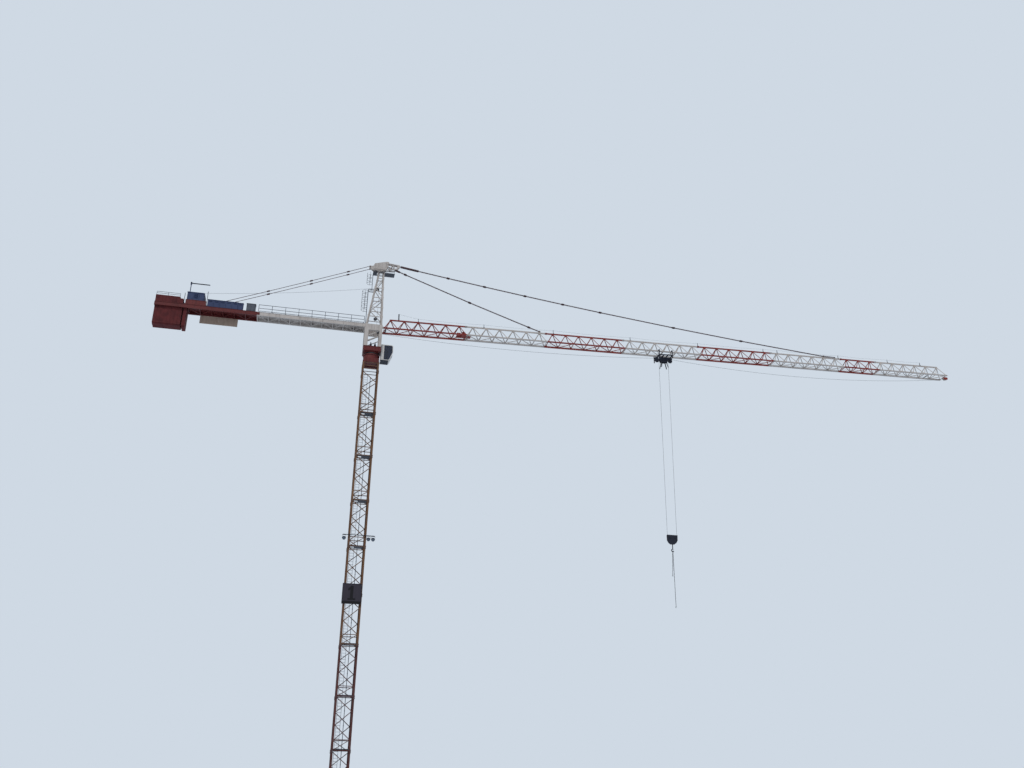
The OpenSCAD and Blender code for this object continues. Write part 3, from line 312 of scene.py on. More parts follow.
class Shape:
    """Points and faces of one piece, in millimetres, gathered from simple forms."""

    def __init__(self):
        self.points = []
        self.faces = []

    def take(self, points, faces):
        first = len(self.points)
        self.points += [Vector(p) for p in points]
        self.faces += [tuple(first + i for i in face) for face in faces]

    def block(self, a, b):
        """A box between two opposite corners."""
        xs, ys, zs = (sorted((a[i], b[i])) for i in range(3))
        points = [(x, y, z) for x in xs for y in ys for z in zs]
        self.take(points, [(0, 1, 3, 2), (4, 6, 7, 5), (0, 4, 5, 1), (2, 3, 7, 6), (0, 2, 6, 4), (1, 5, 7, 3)])

    def tube(self, path, radius, sides=8):
        """A round tube along a list of points, or a ring where the path comes back to its start."""
        path = [Vector(p) for p in path]
        closed = (path[0] - path[-1]).length < 1e-4
        if closed:
            path = path[:-1]
        count = len(path)
        side = None
        rings = []
        for i, p in enumerate(path):
            before = path[(i - 1) % count] if closed or i else p
            after = path[(i + 1) % count] if closed or i < count - 1 else p
            ahead = (after - before).normalized()
            side = ahead.orthogonal().normalized() if side is None else side
            side = (side - ahead * side.dot(ahead)).normalized()
            rings.append(circle(p, radius, side, ahead.cross(side), sides)[:-1])
        links = [(i, (i + 1) % count) for i in range(count if closed else count - 1)]
        faces = [(i * sides + k, i * sides + (k + 1) % sides, j * sides + (k + 1) % sides, j * sides + k)
                 for i, j in links for k in range(sides)]
        if not closed:
            faces.append(tuple(reversed(range(sides))))
            faces.append(tuple((count - 1) * sides + k for k in range(sides)))
        self.take([p for ring in rings for p in ring], faces)

    def bar(self, a, b, width, depth, across=(0, 1, 0)):
        """A straight flat bar from a to b, width along across and depth square to it."""
        a, b = Vector(a), Vector(b)
        ahead = (b - a).normalized()
        side = Vector(across)
        side = (side - ahead * side.dot(ahead)).normalized() * width / 2
        up = ahead.cross(side).normalized() * depth / 2
        corners = [side + up, side - up, -side - up, -side + up]
        points = [a + c for c in corners] + [b + c for c in corners]
        self.take(points, [(3, 2, 1, 0), (4, 5, 6, 7), (0, 1, 5, 4), (1, 2, 6, 5), (2, 3, 7, 6), (3, 0, 4, 7)])

    def bolt(self, centre, out, radius, height):
        """A hexagon bolt head standing on a surface, on its washer."""
        centre, out = Vector(centre), Vector(out).normalized()
        self.tube([centre, centre + out * height * 0.25], radius * 1.35, 10)
        self.tube([centre, centre + out * height], radius, 6)

    def corner_bolts(self, spots, face, z, radius, height):
        """Bolts on both outer faces of each of the mast's four corners."""
        for sx, sy in CORNERS:
            for along in spots:
                self.bolt((sx * along, sy * face, z), Y * sy, radius, height)
                self.bolt((sx * face, sy * along, z), X * sx, radius, height)

    def plate(self, outline, thickness, place):
        """A flat plate: an outline in (u, v), and place turns (u, v, w) into a point."""
        n = len(outline)
        points = [place(u, v, w) for w in (-thickness / 2, thickness / 2) for u, v in outline]
        sides = [(k, (k + 1) % n, n + (k + 1) % n, n + k) for k in range(n)]
        self.take(points, [tuple(reversed(range(n))), tuple(range(n, 2 * n))] + sides)

    def upright(self, outline, thickness, corner):
        """A plate that stands along X, its outline drawn from a corner."""
        x, y, z = corner
        self.plate(outline, thickness, lambda u, v, w: (x + u, y + w, z + v))

    def border(self, y, x0, x1, z0, z1, width, proud):
        """A flat frame on a wall that faces along Y, standing proud of it."""
        for a, b in (((x0, z0), (x0 + width, z1)), ((x1 - width, z0), (x1, z1)), ((x0, z0), (x1, z0 + width)),
                     ((x0, z1 - width), (x1, z1))):
            self.block((a[0], y, a[1]), (b[0], y + proud, b[1]))

    def piece(self, name, slot, body="upperworks", finish=None, smooth=False):
        """The finished object in metres, in its slot's finish unless another is given. It rides on a body
        if one is given."""
        mesh = bpy.data.meshes.new(name)
        mesh.from_pydata([tuple(p * MM) for p in self.points], [], self.faces)
        mesh.validate()
        mesh.materials.append(finish or FINISH[slot])
        for polygon in mesh.polygons:
            polygon.use_smooth = smooth
        made = bpy.data.objects.new(name, mesh)
        bpy.context.scene.collection.objects.link(made)
        if body:
            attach(made, body)
        return made


def circle(centre, radius, u, v, count=24, start=0.0, sweep=math.tau):
    """Points on a circle or an arc in the plane of u and v."""
    centre, u, v = Vector(centre), Vector(u), Vector(v)
    angles = [start + sweep * k / count for k in range(count + 1)]
    return [centre + radius * (math.cos(a) * u + math.sin(a) * v) for a in angles]


X, Y, Z = Vector((1, 0, 0)), Vector((0, 1, 0)), Vector((0, 0, 1))
SIDES = (-1, 1)
CORNERS = [(sx, sy) for sx in SIDES for sy in SIDES]


# Mast

def splice_bolts():
    """Bolts through the splice sleeves, four rows of two on each outer face of each leg."""
    bolts = Shape()
    for joint in range(SECTIONS + 1):
        for rise in (-12, -6, 6, 12):
            bolts.corner_bolts((79, 88), SLEEVE_FACE, BASE_TOP + joint * SECTION + rise, 1.9, 1.7)
    bolts.piece("mast_splice_bolts", "galvanised_steel", "tower")


def landing_gratings():
    """Bearing bars of the grating on each landing, with a kerb round it and round its hatch."""
    bars = Shape()
    for k in range(1, SECTIONS):
        z = BASE_TOP + k * SECTION + LANDING_RISE + 3
        for n in range(26):
            x = -75 + n * 6
            spans = ((-57, -24), (24, 57)) if -65.5 < x < -18.5 else ((-57, 57),)
            for y0, y1 in spans:
                bars.block((x - 0.5, y0, z), (x + 0.5, y1, z + 1.6))
        for y in (-58, 57):
            bars.block((-78, y, z), (78, y + 1, z + 8))
        bars.block((77, -58, z), (78, 58, z + 8))
        for x in (-65.3, -18.7):
            bars.block((x - 0.5, -24, z), (x + 0.5, 24, z + 6))
    bars.piece("landing_gratings", "galvanised_steel", "tower")


def power_conduit():
    """Supply pipe clipped inside the mast, up its middle line."""
    pipe = Shape()
    x, y = 14, 68
    pipe.tube([(x, y, 46), (x, y, MAST_TOP - 6)], 3.2, 12)
    for k in range(SECTIONS):
        z = BASE_TOP + k * SECTION
        for rise in (104, 240, 380):
            pipe.block((x - 5, y - 4.5, z + rise), (x + 5, y + 4.5, z + rise + 5))
        pipe.block((x - 3, y + 3, z + 104), (x + 3, 83, z + 109))
    pipe.piece("mast_power_conduit", "galvanised_steel", "tower")


def anchor_nuts():
    """Anchor rods through the foot plates, with nuts and washers."""
    rods = Shape()
    for sx, sy in CORNERS:
        for ax, ay in CORNERS:
            x, y = sx * 83.5 + ax * 20, sy * 83.5 + ay * 20
            rods.tube([(x, y, 0.5), (x, y, 16)], 2.6, 12)
            rods.bolt((x, y, 6), Z, 4.2, 4.5)
    rods.piece("base_anchor_nuts", "galvanised_steel", "tower")


def number_face():
    """The board's raised numeral 1, its darker lower band and its folded edge."""
    x0, x1, z0, z1, face = -112, 83, 1974, 2182, -106
    one = [(-38, 42), (38, 42), (38, 58), (15, 58), (15, 184), (-9, 184), (-42, 150), (-30, 136), (-15, 148),
           (-15, 58), (-38, 58)]
    numeral = Shape()
    numeral.upright(one, 1.6, ((x0 + x1) / 2, face - 0.6, z0))
    numeral.block((x0 + 3, face - 1, z0 + 3), (x1 - 3, face + 0.5, z0 + 28))
    numeral.piece("number_board_numeral", "board_paint", "tower", finish=numeral_black)
    edge = Shape()
    edge.border(face + 0.5, x0, x1, z0, z1, 3, -4)
    edge.block((x0, face + 0.5, z0 + 28), (x1, face - 2, z0 + 31))
    for x in (-90, -14, 62):
        for z in (z0 + 36, z1 - 12):
            edge.bolt((x, face, z), -Y, 2.2, 2)
    edge.piece("number_board_edge", "board_paint", "tower")


def round_floodlights():
    """Three round lamps that point out and down, in yokes under the arm on the mast's near face."""
    lenses, lamps = Shape(), Shape()
    dip = math.radians(130)
    out = Vector((0, -math.sin(dip), math.cos(dip)))
    up = X.cross(out)
    lamps.block((-153, -108, FLOOD_Z - 3), (177, -102, FLOOD_Z + 3))
    for side in SIDES:
        lamps.block((side * 83.5 - 5, -105, FLOOD_Z - 5), (side * 83.5 + 5, -92.8, FLOOD_Z + 5))
    for x in (-139, 115, 163):
        centre = Vector((x, -101, FLOOD_Z - 38))
        lamps.tube([centre - out * 11, centre + out * 6], 17, 32)
        lamps.tube([centre - out * 17, centre - out * 10], 10, 24)
        lamps.tube(circle(centre + out * 6, 16.2, X, up, 32), 1.4, 8)
        for k in range(4):
            lamps.tube([centre - out * (2 + k * 2.2), centre - out * (3 + k * 2.2)], 18, 24)
        lenses.tube([centre + out * 5.8, centre + out * 6.9], 15.2, 32)
        for s in SIDES:
            lamps.block((x + s * 17, -104, FLOOD_Z - 41), (x + s * 19, -98, FLOOD_Z - 1))
            lamps.bolt(centre + X * s * 19, X * s, 2.6, 2)
        lamps.block((x - 19, -104, FLOOD_Z - 6), (x + 19, -98, FLOOD_Z - 3))
    lenses.piece("floodlight_lenses", "dark_paint", "tower", finish=lens_glass)
    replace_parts(lamps.piece("round_floodlights", "dark_paint", "tower"), "floodlights")


def slewing_drum():
    """The plated drum under the slewing ring, and the open ochre legs with level bars that carry it."""
    drum, legs = Shape(), Shape()
    # A square frame, a ribbed square box on it, and the round drum with the ring's flange
    foot, rim, hole, box = MAST_TOP + 115, 92.5, 60, 88
    floor, roof, flange = foot + 8, foot + 52, RING_BOTTOM - 8
    for side in SIDES:
        drum.block((-rim, side * hole, foot), (rim, side * rim, floor))
        drum.block((side * hole, -hole, foot), (side * rim, hole, floor))
        for at in (-58, -20, 20, 58):
            drum.block((at - 1.5, side * box, floor), (at + 1.5, side * (box + 2.5), roof))
            drum.block((side * box, at - 1.5, floor), (side * (box + 2.5), at + 1.5, roof))
    drum.block((-box, -box, floor), (box, box, roof))
    drum.tube([(0, 0, roof), (0, 0, flange)], box, 96)
    drum.tube([(0, 0, flange), (0, 0, RING_BOTTOM)], 94, 96)
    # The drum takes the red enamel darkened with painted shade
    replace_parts(drum.piece("slewing_drum", "red_paint", "tower", finish=shaded_red), "slewing_support")
    # Leg angles from toe to outer face, 3 thick, with the sleeves of the last splice round them
    toe, face = 74.5, 92.5
    for sx, sy in CORNERS:
        legs.block((sx * toe, sy * (face - 3), MAST_TOP), (sx * face, sy * face, foot))
        legs.block((sx * (face - 3), sy * toe, MAST_TOP), (sx * face, sy * (face - 3), foot))
        legs.block((sx * toe, sy * face, MAST_TOP), (sx * SLEEVE_FACE, sy * SLEEVE_FACE, MAST_TOP + 18))
        legs.block((sx * face, sy * toe, MAST_TOP), (sx * SLEEVE_FACE, sy * face, MAST_TOP + 18))
    for rise in (30, 68, 104):
        for side in SIDES:
            legs.block((-77, side * 83, MAST_TOP + rise), (77, side * 89, MAST_TOP + rise + 6))
            legs.block((side * 83, -77, MAST_TOP + rise), (side * 89, 77, MAST_TOP + rise + 6))
    legs.piece("slewing_drum_legs", "mast_ochre_paint", "tower")


# Slewing gear and turntable

def slewing_bolts():
    """Bolts under the flange that carries the slewing ring, and on the drum's square box."""
    bolts = Shape()
    for k in range(40):
        a = math.tau * k / 40
        bolts.bolt((90.5 * math.cos(a), 90.5 * math.sin(a), RING_BOTTOM - 8), -Z, 1.8, 2.4)
    for z in (4702, 4728):
        bolts.corner_bolts((40, 78), 88, z, 2, 1.6)
    bolts.piece("slewing_flange_bolts", "galvanised_steel", "tower")


def motor_fins():
    """Cooling fins, fan covers and terminal boxes of the slewing motors."""
    fins = Shape()
    for x in (-18, 30):
        y = -70
        for k in range(9):
            z = HEAD_LEG_Z + 6 + k * 2.2
            fins.tube([(x, y, z), (x, y, z + 0.9)], 12, 24)
        fins.tube([(x, y, HEAD_LEG_Z + 48), (x, y, HEAD_LEG_Z + 52)], 5, 16)
        fins.block((x - 5, y - 15, HEAD_LEG_Z + 10), (x + 5, y - 8, HEAD_LEG_Z + 22))
        for k in range(8):
            a = math.tau * k / 8
            fins.bolt((x + 11 * math.cos(a), y + 11 * math.sin(a), HEAD_LEG_Z + 5), Z, 0.9, 1)
    fins.piece("slewing_motor_fins", "dark_paint")


def turntable_ribs():
    """Stiffening ribs, edge strips and bolts on the turntable's sides."""
    ribs = Shape()
    for side in SIDES:
        y = side * 92
        for x in (-70, -35, 0, 35, 70):
            ribs.block((x - 1.5, y, 4828), (x + 1.5, y + side * 2.4, HEAD_LEG_Z - 1))
            for z in (4840, 4872):
                ribs.bolt((x + 12, y, z), Y * side, 2, 1.8)
        for z in (4827, HEAD_LEG_Z - 4):
            ribs.block((-99, y, z), (99, y + side * 2.8, z + 3))
    # Ribs in the red enamel darkened with painted shade
    ribs.piece("turntable_ribs", "red_paint", finish=shaded_red)


# Tower head

def head_gussets():
    """Gusset plates where the bracing meets the head's legs, and bolted shoes at the feet."""
    gussets = Shape()
    for foot_x, top_x in ((86, 68), (-84, 20)):
        for side in SIDES:
            for f in (0.15, 0.32, 0.5, 0.68, 0.86):
                p = head_leg(foot_x, top_x, f, side) + Y * side * 7.6
                gussets.plate([(-12, -15), (12, -15), (12, 15), (-12, 15)], 2,
                              lambda u, v, w, p=p, s=side: p + Vector((u, s * (w - v * 0.07), v)))
                for u in SIDES:
                    gussets.bolt(p + Vector((u * 8, side * 1.2, 9)), Y * side, 1.6, 1.4)
            gussets.block((foot_x - 13, side * 76 - 12, HEAD_Z), (foot_x + 13, side * 76 + 12, HEAD_Z + 3))
            for dx in (-10, 10):
                gussets.bolt((foot_x + dx, side * 76 + side * 9, HEAD_Z + 3), Z, 1.8, 2)
    gussets.piece("head_gussets", "cream_paint")


def crown_fittings():
    """Pin heads and stiffeners of the crown, and the open arm in front of it."""
    fittings = Shape()
    for pin, half in ((OUTER_PIN, 15), (INNER_PIN, 15), (REAR_PIN, 43.8)):
        for side in SIDES:
            fittings.tube([pin + Y * side * half, pin + Y * side * (half + 3)], 6, 16)
    for side in SIDES:
        for x in (-30, 20, 60):
            fittings.plate([(15, 6), (30, 6), (15, 50)], 3,
                           lambda u, v, w, s=side, at=x: (at + w, s * u, CROWN_Z + v))
    fittings.piece("crown_fittings", "cream_paint")
    # The arm is a frame on each side, out to the pins that the ties pass through
    arm = Shape()
    cheek = 19.3
    lower = [(60, 14), (140, 34), (205, 44), (248, 86)]
    upper = [(84, 118), (170, 112), (248, 104)]
    webs = [(96, 112), (140, 36), (170, 110), (205, 46)]
    head = [(226, 76), (246, 78), (256, 90), (256, 104), (246, 112), (226, 112)]
    for side in SIDES:
        for line, deep in ((lower, 11), (upper, 11), (webs, 8)):
            for (u0, v0), (u1, v1) in zip(line, line[1:]):
                arm.bar((u0, side * cheek, CROWN_Z + v0), (u1, side * cheek, CROWN_Z + v1), 4, deep)
        arm.upright(head, 4.2, (0, side * cheek, CROWN_Z))
        for u, v in ((66, 16), (92, 22), (92, 117), (120, 115)):
            arm.bolt((u, side * (cheek + 2), CROWN_Z + v), Y * side, 2.6, 2.2)
    for u, v in ((240, 100), (202, 48)):
        arm.tube([(u, -24, CROWN_Z + v), (u, 24, CROWN_Z + v)], 5, 16)
    arm.piece("crown_front_arm", "cream_paint")


def ladder_cages():
    """Hoops on the head's ladder, a rest platform on the rear legs and a caged ladder up to the deck."""
    cage = Shape()
    # Each hoop is an arc round a middle line behind the ladder, open towards it
    back, hoop_r, rod, half_sweep = 30, 34.2, 1.7, 2.639
    upper = (-53, -30)
    for x, y, low, high in ((-93, 0, 5370, 5620), (*upper, 5710, 5850)):
        for k in range((high - low) // 50 + 1):
            hoop = circle((x - back, y, low + k * 50), hoop_r, -X, Y, 20, -half_sweep, 2 * half_sweep)
            cage.tube(hoop, rod, 6)
        for a in (-math.pi / 2, 0, math.pi / 2):
            cx, cy = x - back - hoop_r * math.cos(a), y + hoop_r * math.sin(a)
            cage.tube([(cx, cy, low), (cx, cy, high)], rod, 6)
    x, y = upper
    for side in SIDES:
        cage.block((x - 2, y + side * 15, 5636), (x + 2, y + side * 18, 5866))
        cage.bar((-88, side * 31, 5633), (-12, side * 33, 5633), 4, 5)
    for k in range(15):
        z = 5650 + k * 15
        cage.tube([(x, y - 15, z), (x, y + 15, z)], 1.3, 6)
    for k in range(16):
        cage.block((-90 + k * 5, -34, 5635.5), (-88.6 + k * 5, 34, 5638))
    cage.piece("head_ladder_cages", "dark_paint")


# Cab

def cab_fittings():
    """Window panes in rubber, door seams and handle, roof unit with its gutters, and painted shade under the
    floor.
    """
    seals, panes = Shape(), Shape()
    for side in SIDES:
        panes.upright(GLAZING, 1, (CAB_X, side * 65.6, CAB_Z))
        edge = [cab(u, side * 66, v) for u, v in GLAZING]
        seals.tube(edge + edge[:1], 1.1, 8)
        seals.block(cab(70, side * 66, 10), cab(72, side * 67, 182))
    panes.bar(cab(112.5, 0, 40), cab(136, 0, 105.6), 113, 1.6)
    panes.bar(cab(136, 0, 105.6), cab(133.4, 0, 169.6), 113, 1.6)
    panes.piece("cab_glazing", "cab_glass")
    seals.tube([cab(118, -4, 48), cab(136, 20, 100)], 1.1, 8)
    seals.piece("cab_window_rubber", "dark_paint", finish=rubber)
    trim = Shape()
    for side in SIDES:
        y = side * 65
        trim.border(y, CAB_X + 8, CAB_X + 32, CAB_Z + 10, CAB_Z + 182, 1.5, side * 0.9)
        trim.tube([cab(28, y, 80), cab(28, y + side * 3, 80),
                   cab(28, y + side * 3, 100), cab(28, y, 100)], 1, 8)
        trim.block(cab(2, side * 58, CAB_H), cab(120, side * 60, CAB_H + 2))
    trim.block(cab(20, -34, CAB_H), cab(84, 34, CAB_H + 13))
    for k in range(7):
        trim.block(cab(19, -31 + k * 9, CAB_H + 3), cab(85, -26 + k * 9, CAB_H + 11))
    trim.piece("cab_trim", "cab_paint")
    # A dark ribbed sheet under the cab's floor: painted shade on the underside seen from below
    pan = Shape()
    pan.block(cab(3, -63, -1.6), cab(90, 63, 0))
    for k in range(5):
        pan.block(cab(12 + k * 17, -61, -4), cab(16 + k * 17, 61, -1.6))
    pan.piece("cab_underside_shade_sheet", "dark_paint")


def cab_seat():
    """Seat with a curved back on its pedestal, and a control console on each side of it."""
    seat = Shape()
    x, z = CAB_X + 40, CAB_Z + 6
    outline = [(0, 34), (2, 30), (38, 30), (44, 34), (43, 40), (12, 40), (4, 96), (-4, 98), (-8, 92)]
    seat.upright(outline, 40, (x, 0, z))
    seat.upright([(-6, 98), (2, 98), (0, 116), (-7, 116)], 24, (x, 0, z))
    seat.piece("cab_seat", "dark_paint", finish=fabric)
    desk = Shape()
    desk.tube([(x + 20, 0, z), (x + 20, 0, z + 30)], 8, 16)
    for side in SIDES:
        desk.block((x + 8, side * 27, z), (x + 44, side * 45, z + 48))
        desk.tube([(x + 34, side * 36, z + 48), (x + 37, side * 36, z + 64)], 1.6, 8)
        desk.tube([(x + 37, side * 36, z + 64), (x + 37.5, side * 36, z + 70)], 3.2, 10)
    desk.piece("cab_consoles", "dark_paint")


# Jib

def section_slot(i):
    """Red and cream sections in turn from the root."""
    return "red_paint" if i % 2 == 0 else "cream_paint"


def jib_joints():
    """Pinned collars where two jib sections meet, kept clear of the running rails."""
    pins = Shape()
    for i in range(1, len(JIB_PANELS)):
        x = sum(JIB_PANELS[:i]) * PANEL
        collars = Shape()
        for side in SIDES:
            collars.bar(jib(x - 13, side * 69, 0), jib(x + 13, side * 69, 0), 17, 18)
            for dx in (-7, 7):
                pins.tube([jib(x + dx, side * 67, -11.5), jib(x + dx, side * 67, 11.5)], 3.2, 12)
        collars.bar(jib(x - 13, 0, JIB_DEPTH), jib(x + 13, 0, JIB_DEPTH), 18, 18)
        for dx in (-7, 7):
            pins.tube([jib(x + dx, -12, JIB_DEPTH), jib(x + dx, 12, JIB_DEPTH)], 3.6, 12)
        collars.piece(f"jib_collars_{i}", section_slot(i))
    pins.piece("jib_joint_pins", "galvanised_steel")


def jib_gussets():
    """Small gusset plates where the side bracing meets the bottom chords and the top chord."""
    for i, count in enumerate(JIB_PANELS):
        first = sum(JIB_PANELS[:i])
        plates = Shape()
        for j in range(count):
            for side in SIDES:
                slant = (jib(0, 0, JIB_DEPTH) - jib(0, side * CHORD_Y, 0)).normalized()
                flat = X.cross(slant)
                for n, y, z, reach in (((first + j) + (0.1 if j == 0 else 0), side * CHORD_Y, 0, slant),
                                       (first + j + 0.5, 0, JIB_DEPTH, -slant)):
                    foot = jib(n * PANEL, y, z)
                    plates.plate([(-15, 6), (15, 6), (6, 21), (-6, 21)], 2.2,
                                 lambda u, v, w, p=foot, r=reach, f=flat: p + X * u + r * v + f * w)
        plates.piece(f"jib_gussets_{i + 1}", section_slot(i))


def lifeline():
    """Posts on the top chord and the safety wire that runs through their eyes."""
    posts, stout = Shape(), Shape()
    eyes = []
    root = 177
    stout.bar(jib(root, 0, JIB_DEPTH + 6), jib(root, 0, JIB_DEPTH + 84), 12, 12)
    stout.tube([jib(root, -9, JIB_DEPTH + 80), jib(root, 9, JIB_DEPTH + 80)], 5, 16)
    stout.piece("lifeline_root_post", "dark_paint")
    for x, height in ((root, 88), (406, 46), (1187, 46), (2036, 50), (3007, 46), (3887, 46), (4763, 46),
                      (4954, 46), (5800, 46), (6500, 46), (6970, 46)):
        posts.bar(jib(x, 0, JIB_DEPTH + 6), jib(x, 0, JIB_DEPTH + height), 5, 5)
        posts.bar(jib(x, 0, JIB_DEPTH + 6), jib(x, 0, JIB_DEPTH + 12), 15, 15)
        eyes.append(jib(x, 0, JIB_DEPTH + height))
        posts.tube(circle(eyes[-1], 3.6, X, Z, 12), 1, 6)
    posts.piece("lifeline_posts", "galvanised_steel")
    wire = Shape()
    for a, b in zip(eyes, eyes[1:]):
        sag = (b - a).length * 0.01
        wire.tube([a.lerp(b, t / 10) - Z * (4 * sag * t / 10 * (1 - t / 10)) for t in range(11)], 0.7, 5)
    wire.piece("lifeline_wire", "wire_rope")


def hauling_rope():
    """The trolley's hauling rope runs along the jib floor from its winch to the root and the tip."""
    cable, wheels = Shape(), Shape()
    for y in (-16, 16):
        cable.tube([jib(30 + k * 700, y, -8) for k in range(11)], 0.9, 6)
    for x in (30, 7030):
        for y in (-16, 16):
            wheels.tube([jib(x, y - 3, -2), jib(x, y + 3, -2)], 7, 20)
        wheels.bar(jib(x, -64, -1), jib(x, 64, -1), 8, 4, across=X)
    cable.piece("trolley_hauling_rope", "wire_rope")
    wheels.piece("hauling_rope_wheels", "cast_sheave")


def trolley_winch_details():
    """Rope wound on the trolley winch's drum, its flanges, gearbox and finned motor."""
    wound, body = Shape(), Shape()
    centre = jib(940, 0, 33)
    for k in range(22):
        wound.tube(circle(centre + Y * (-23 + k * 2.2), 21, X, Z), 1.1, 6)
    wound.piece("trolley_winch_rope", "wire_rope", smooth=True)
    for side in SIDES:
        body.tube([centre + Y * side * 24.3, centre + Y * side * 26.2], 26, 32)
    body.tube([centre + Vector((34, -10, -12)), centre + Vector((78, -10, -12))], 13, 20)
    for k in range(10):
        start, stop = (centre + Vector((x + 4 * k, -10, -12)) for x in (38, 39.4))
        body.tube([start, stop], 15, 20)
    body.block(centre + Vector((-78, -26, -24)), centre + Vector((-34, 26, 6)))
    body.piece("trolley_winch_motor", "red_paint")


def tip_plates():
    """Red cover plates with bolts on the cheeks of the jib tip."""
    covers = Shape()
    outline = [(-19, 3), (39, 3), (49, -7), (45, -25), (14, -33), (-5, -33), (-19, -8)]
    for side in SIDES:
        covers.plate(outline, 1.2, lambda u, v, w, s=side: jib(JIB_LENGTH + u, s * 12.8 + w, v))
        for u, v in ((-10, -4), (26, -10), (4, -26), (38, -14)):
            covers.bolt(jib(JIB_LENGTH + u, side * 13.4, v), Y * side, 2.4, 2)
    covers.piece("jib_tip_covers", "red_paint")


# Ties

def sagging(a, b, sag, f):
    """A point on a shallow curve from a to b."""
    return a + (b - a) * f - Z * (4 * sag * f * (1 - f))


def tie_splices():
    """Pinned splice plates between the links of the ties."""
    splices = Shape()
    for a, b, sag, stops, pair in (
            (OUTER_PIN, jib(OUTER_LUG, 0, LUG_Z), OUTER_SAG,
             (0.055, 0.13, 0.21, 0.3, 0.385, 0.47, 0.64, 0.8), 14),
            (INNER_PIN, jib(INNER_LUG, 0, LUG_Z), INNER_SAG, (0.12, 0.54, 0.93), 14),
            (REAR_PIN, REAR_ANCHOR, 6, (0.14, 0.37, 0.63), 74)):
        for f in stops:
            p = sagging(a, b, sag, f)
            ahead = (sagging(a, b, sag, f + 0.002) - p).normalized()
            for side in SIDES:
                bar = p + Y * side * pair / 2
                for off in (-3.6, 3.6):
                    splices.bar(bar + Y * off - ahead * 17, bar + Y * off + ahead * 17, 1.6, 14)
                for along in (-8, 8):
                    splices.tube([bar + ahead * along - Y * 5.6, bar + ahead * along + Y * 5.6], 2.8, 12)
    # Deep plates round the first links, from the crown's arm out, and the end link that lies on the top chord
    for a, lug, sag, steps, depth in ((OUTER_PIN, OUTER_LUG, OUTER_SAG, (0.027, 0.055, 0.0656), 18),
                                      (INNER_PIN, INNER_LUG, INNER_SAG, (0.052, 0.084), 15)):
        for side in SIDES:
            shift = Y * side * 7
            line = [sagging(a, jib(lug, 0, LUG_Z), sag, f) + shift for f in steps]
            for start, stop in zip(line, line[1:]):
                splices.bar(start, stop, 6, depth)
    for side in SIDES:
        splices.bar(jib(OUTER_LUG, side * 12.6, JIB_DEPTH + 19),
                    jib(OUTER_LUG + 165, side * 12.6, JIB_DEPTH + 12), 2.6, 9)
    splices.tube([jib(OUTER_LUG + 160, -15, JIB_DEPTH + 12), jib(OUTER_LUG + 160, 15, JIB_DEPTH + 12)], 4, 12)
    splices.piece("tie_splices", "tie_steel")


# Counter-jib

def walkway():
    """Floor ribs on both frames, and kerbs beside the front one."""
    ribs = Shape()
    for start, stop in ((CJ_X0 - 8, CJ_X1 + 6), (CJ_X1 - 8, DECK_END)):
        for k in range(int((start - stop) / 10.8) + 1):
            x = start - k * 10.8
            ribs.block((x - 1, -70, CJ_TOP - 6.5), (x + 1, 70, CJ_TOP - 5))
    for side in SIDES:
        ribs.block((CJ_X1 + 6, side * 71, CJ_TOP - 6), (CJ_X0 - 6, side * 72.2, CJ_TOP + 9))
    ribs.piece("walkway_floor_ribs", "galvanised_steel")


def beam_details():
    """Flanges and web stiffeners of the counter-jib's side beams, and the bolted plates between the frames."""
    # The rear frame's flanges take the red enamel darkened with painted shade
    for name, x_from, x_to, slot, finish in (("front", CJ_X0, CJ_X1, "cream_paint", None),
                                             ("rear", CJ_X1, CJ_X2, "red_paint", shaded_red)):
        flanges = Shape()
        for side in SIDES:
            y = side * 86
            for z in (CJ_Z, CJ_TOP - 3):
                flanges.block((x_to + 0.5, y, z), (x_from - 0.5, y + side * 2, z + 3))
            count = int((x_from - x_to) / 120)
            for k in range(1, count):
                x = x_to + k * (x_from - x_to) / count
                flanges.block((x - 1.2, y, CJ_Z + 3), (x + 1.2, y + side * 1.8, CJ_TOP - 3))
        flanges.piece(f"{name}_beam_flanges", slot, finish=finish)
    joint = Shape()
    for side in SIDES:
        joint.block((CJ_X1 - 30, side * 86, CJ_Z + 6), (CJ_X1 + 30, side * 88.4, CJ_TOP - 6))
        for k in range(6):
            for z in (CJ_Z + 13, CJ_TOP - 13):
                joint.bolt((CJ_X1 - 25 + k * 10, side * 88.4, z), Y * side, 2.2, 2)
    # Splice plates in the red enamel darkened with painted shade
    joint.piece("beam_splice_plates", "red_paint", finish=shaded_red)


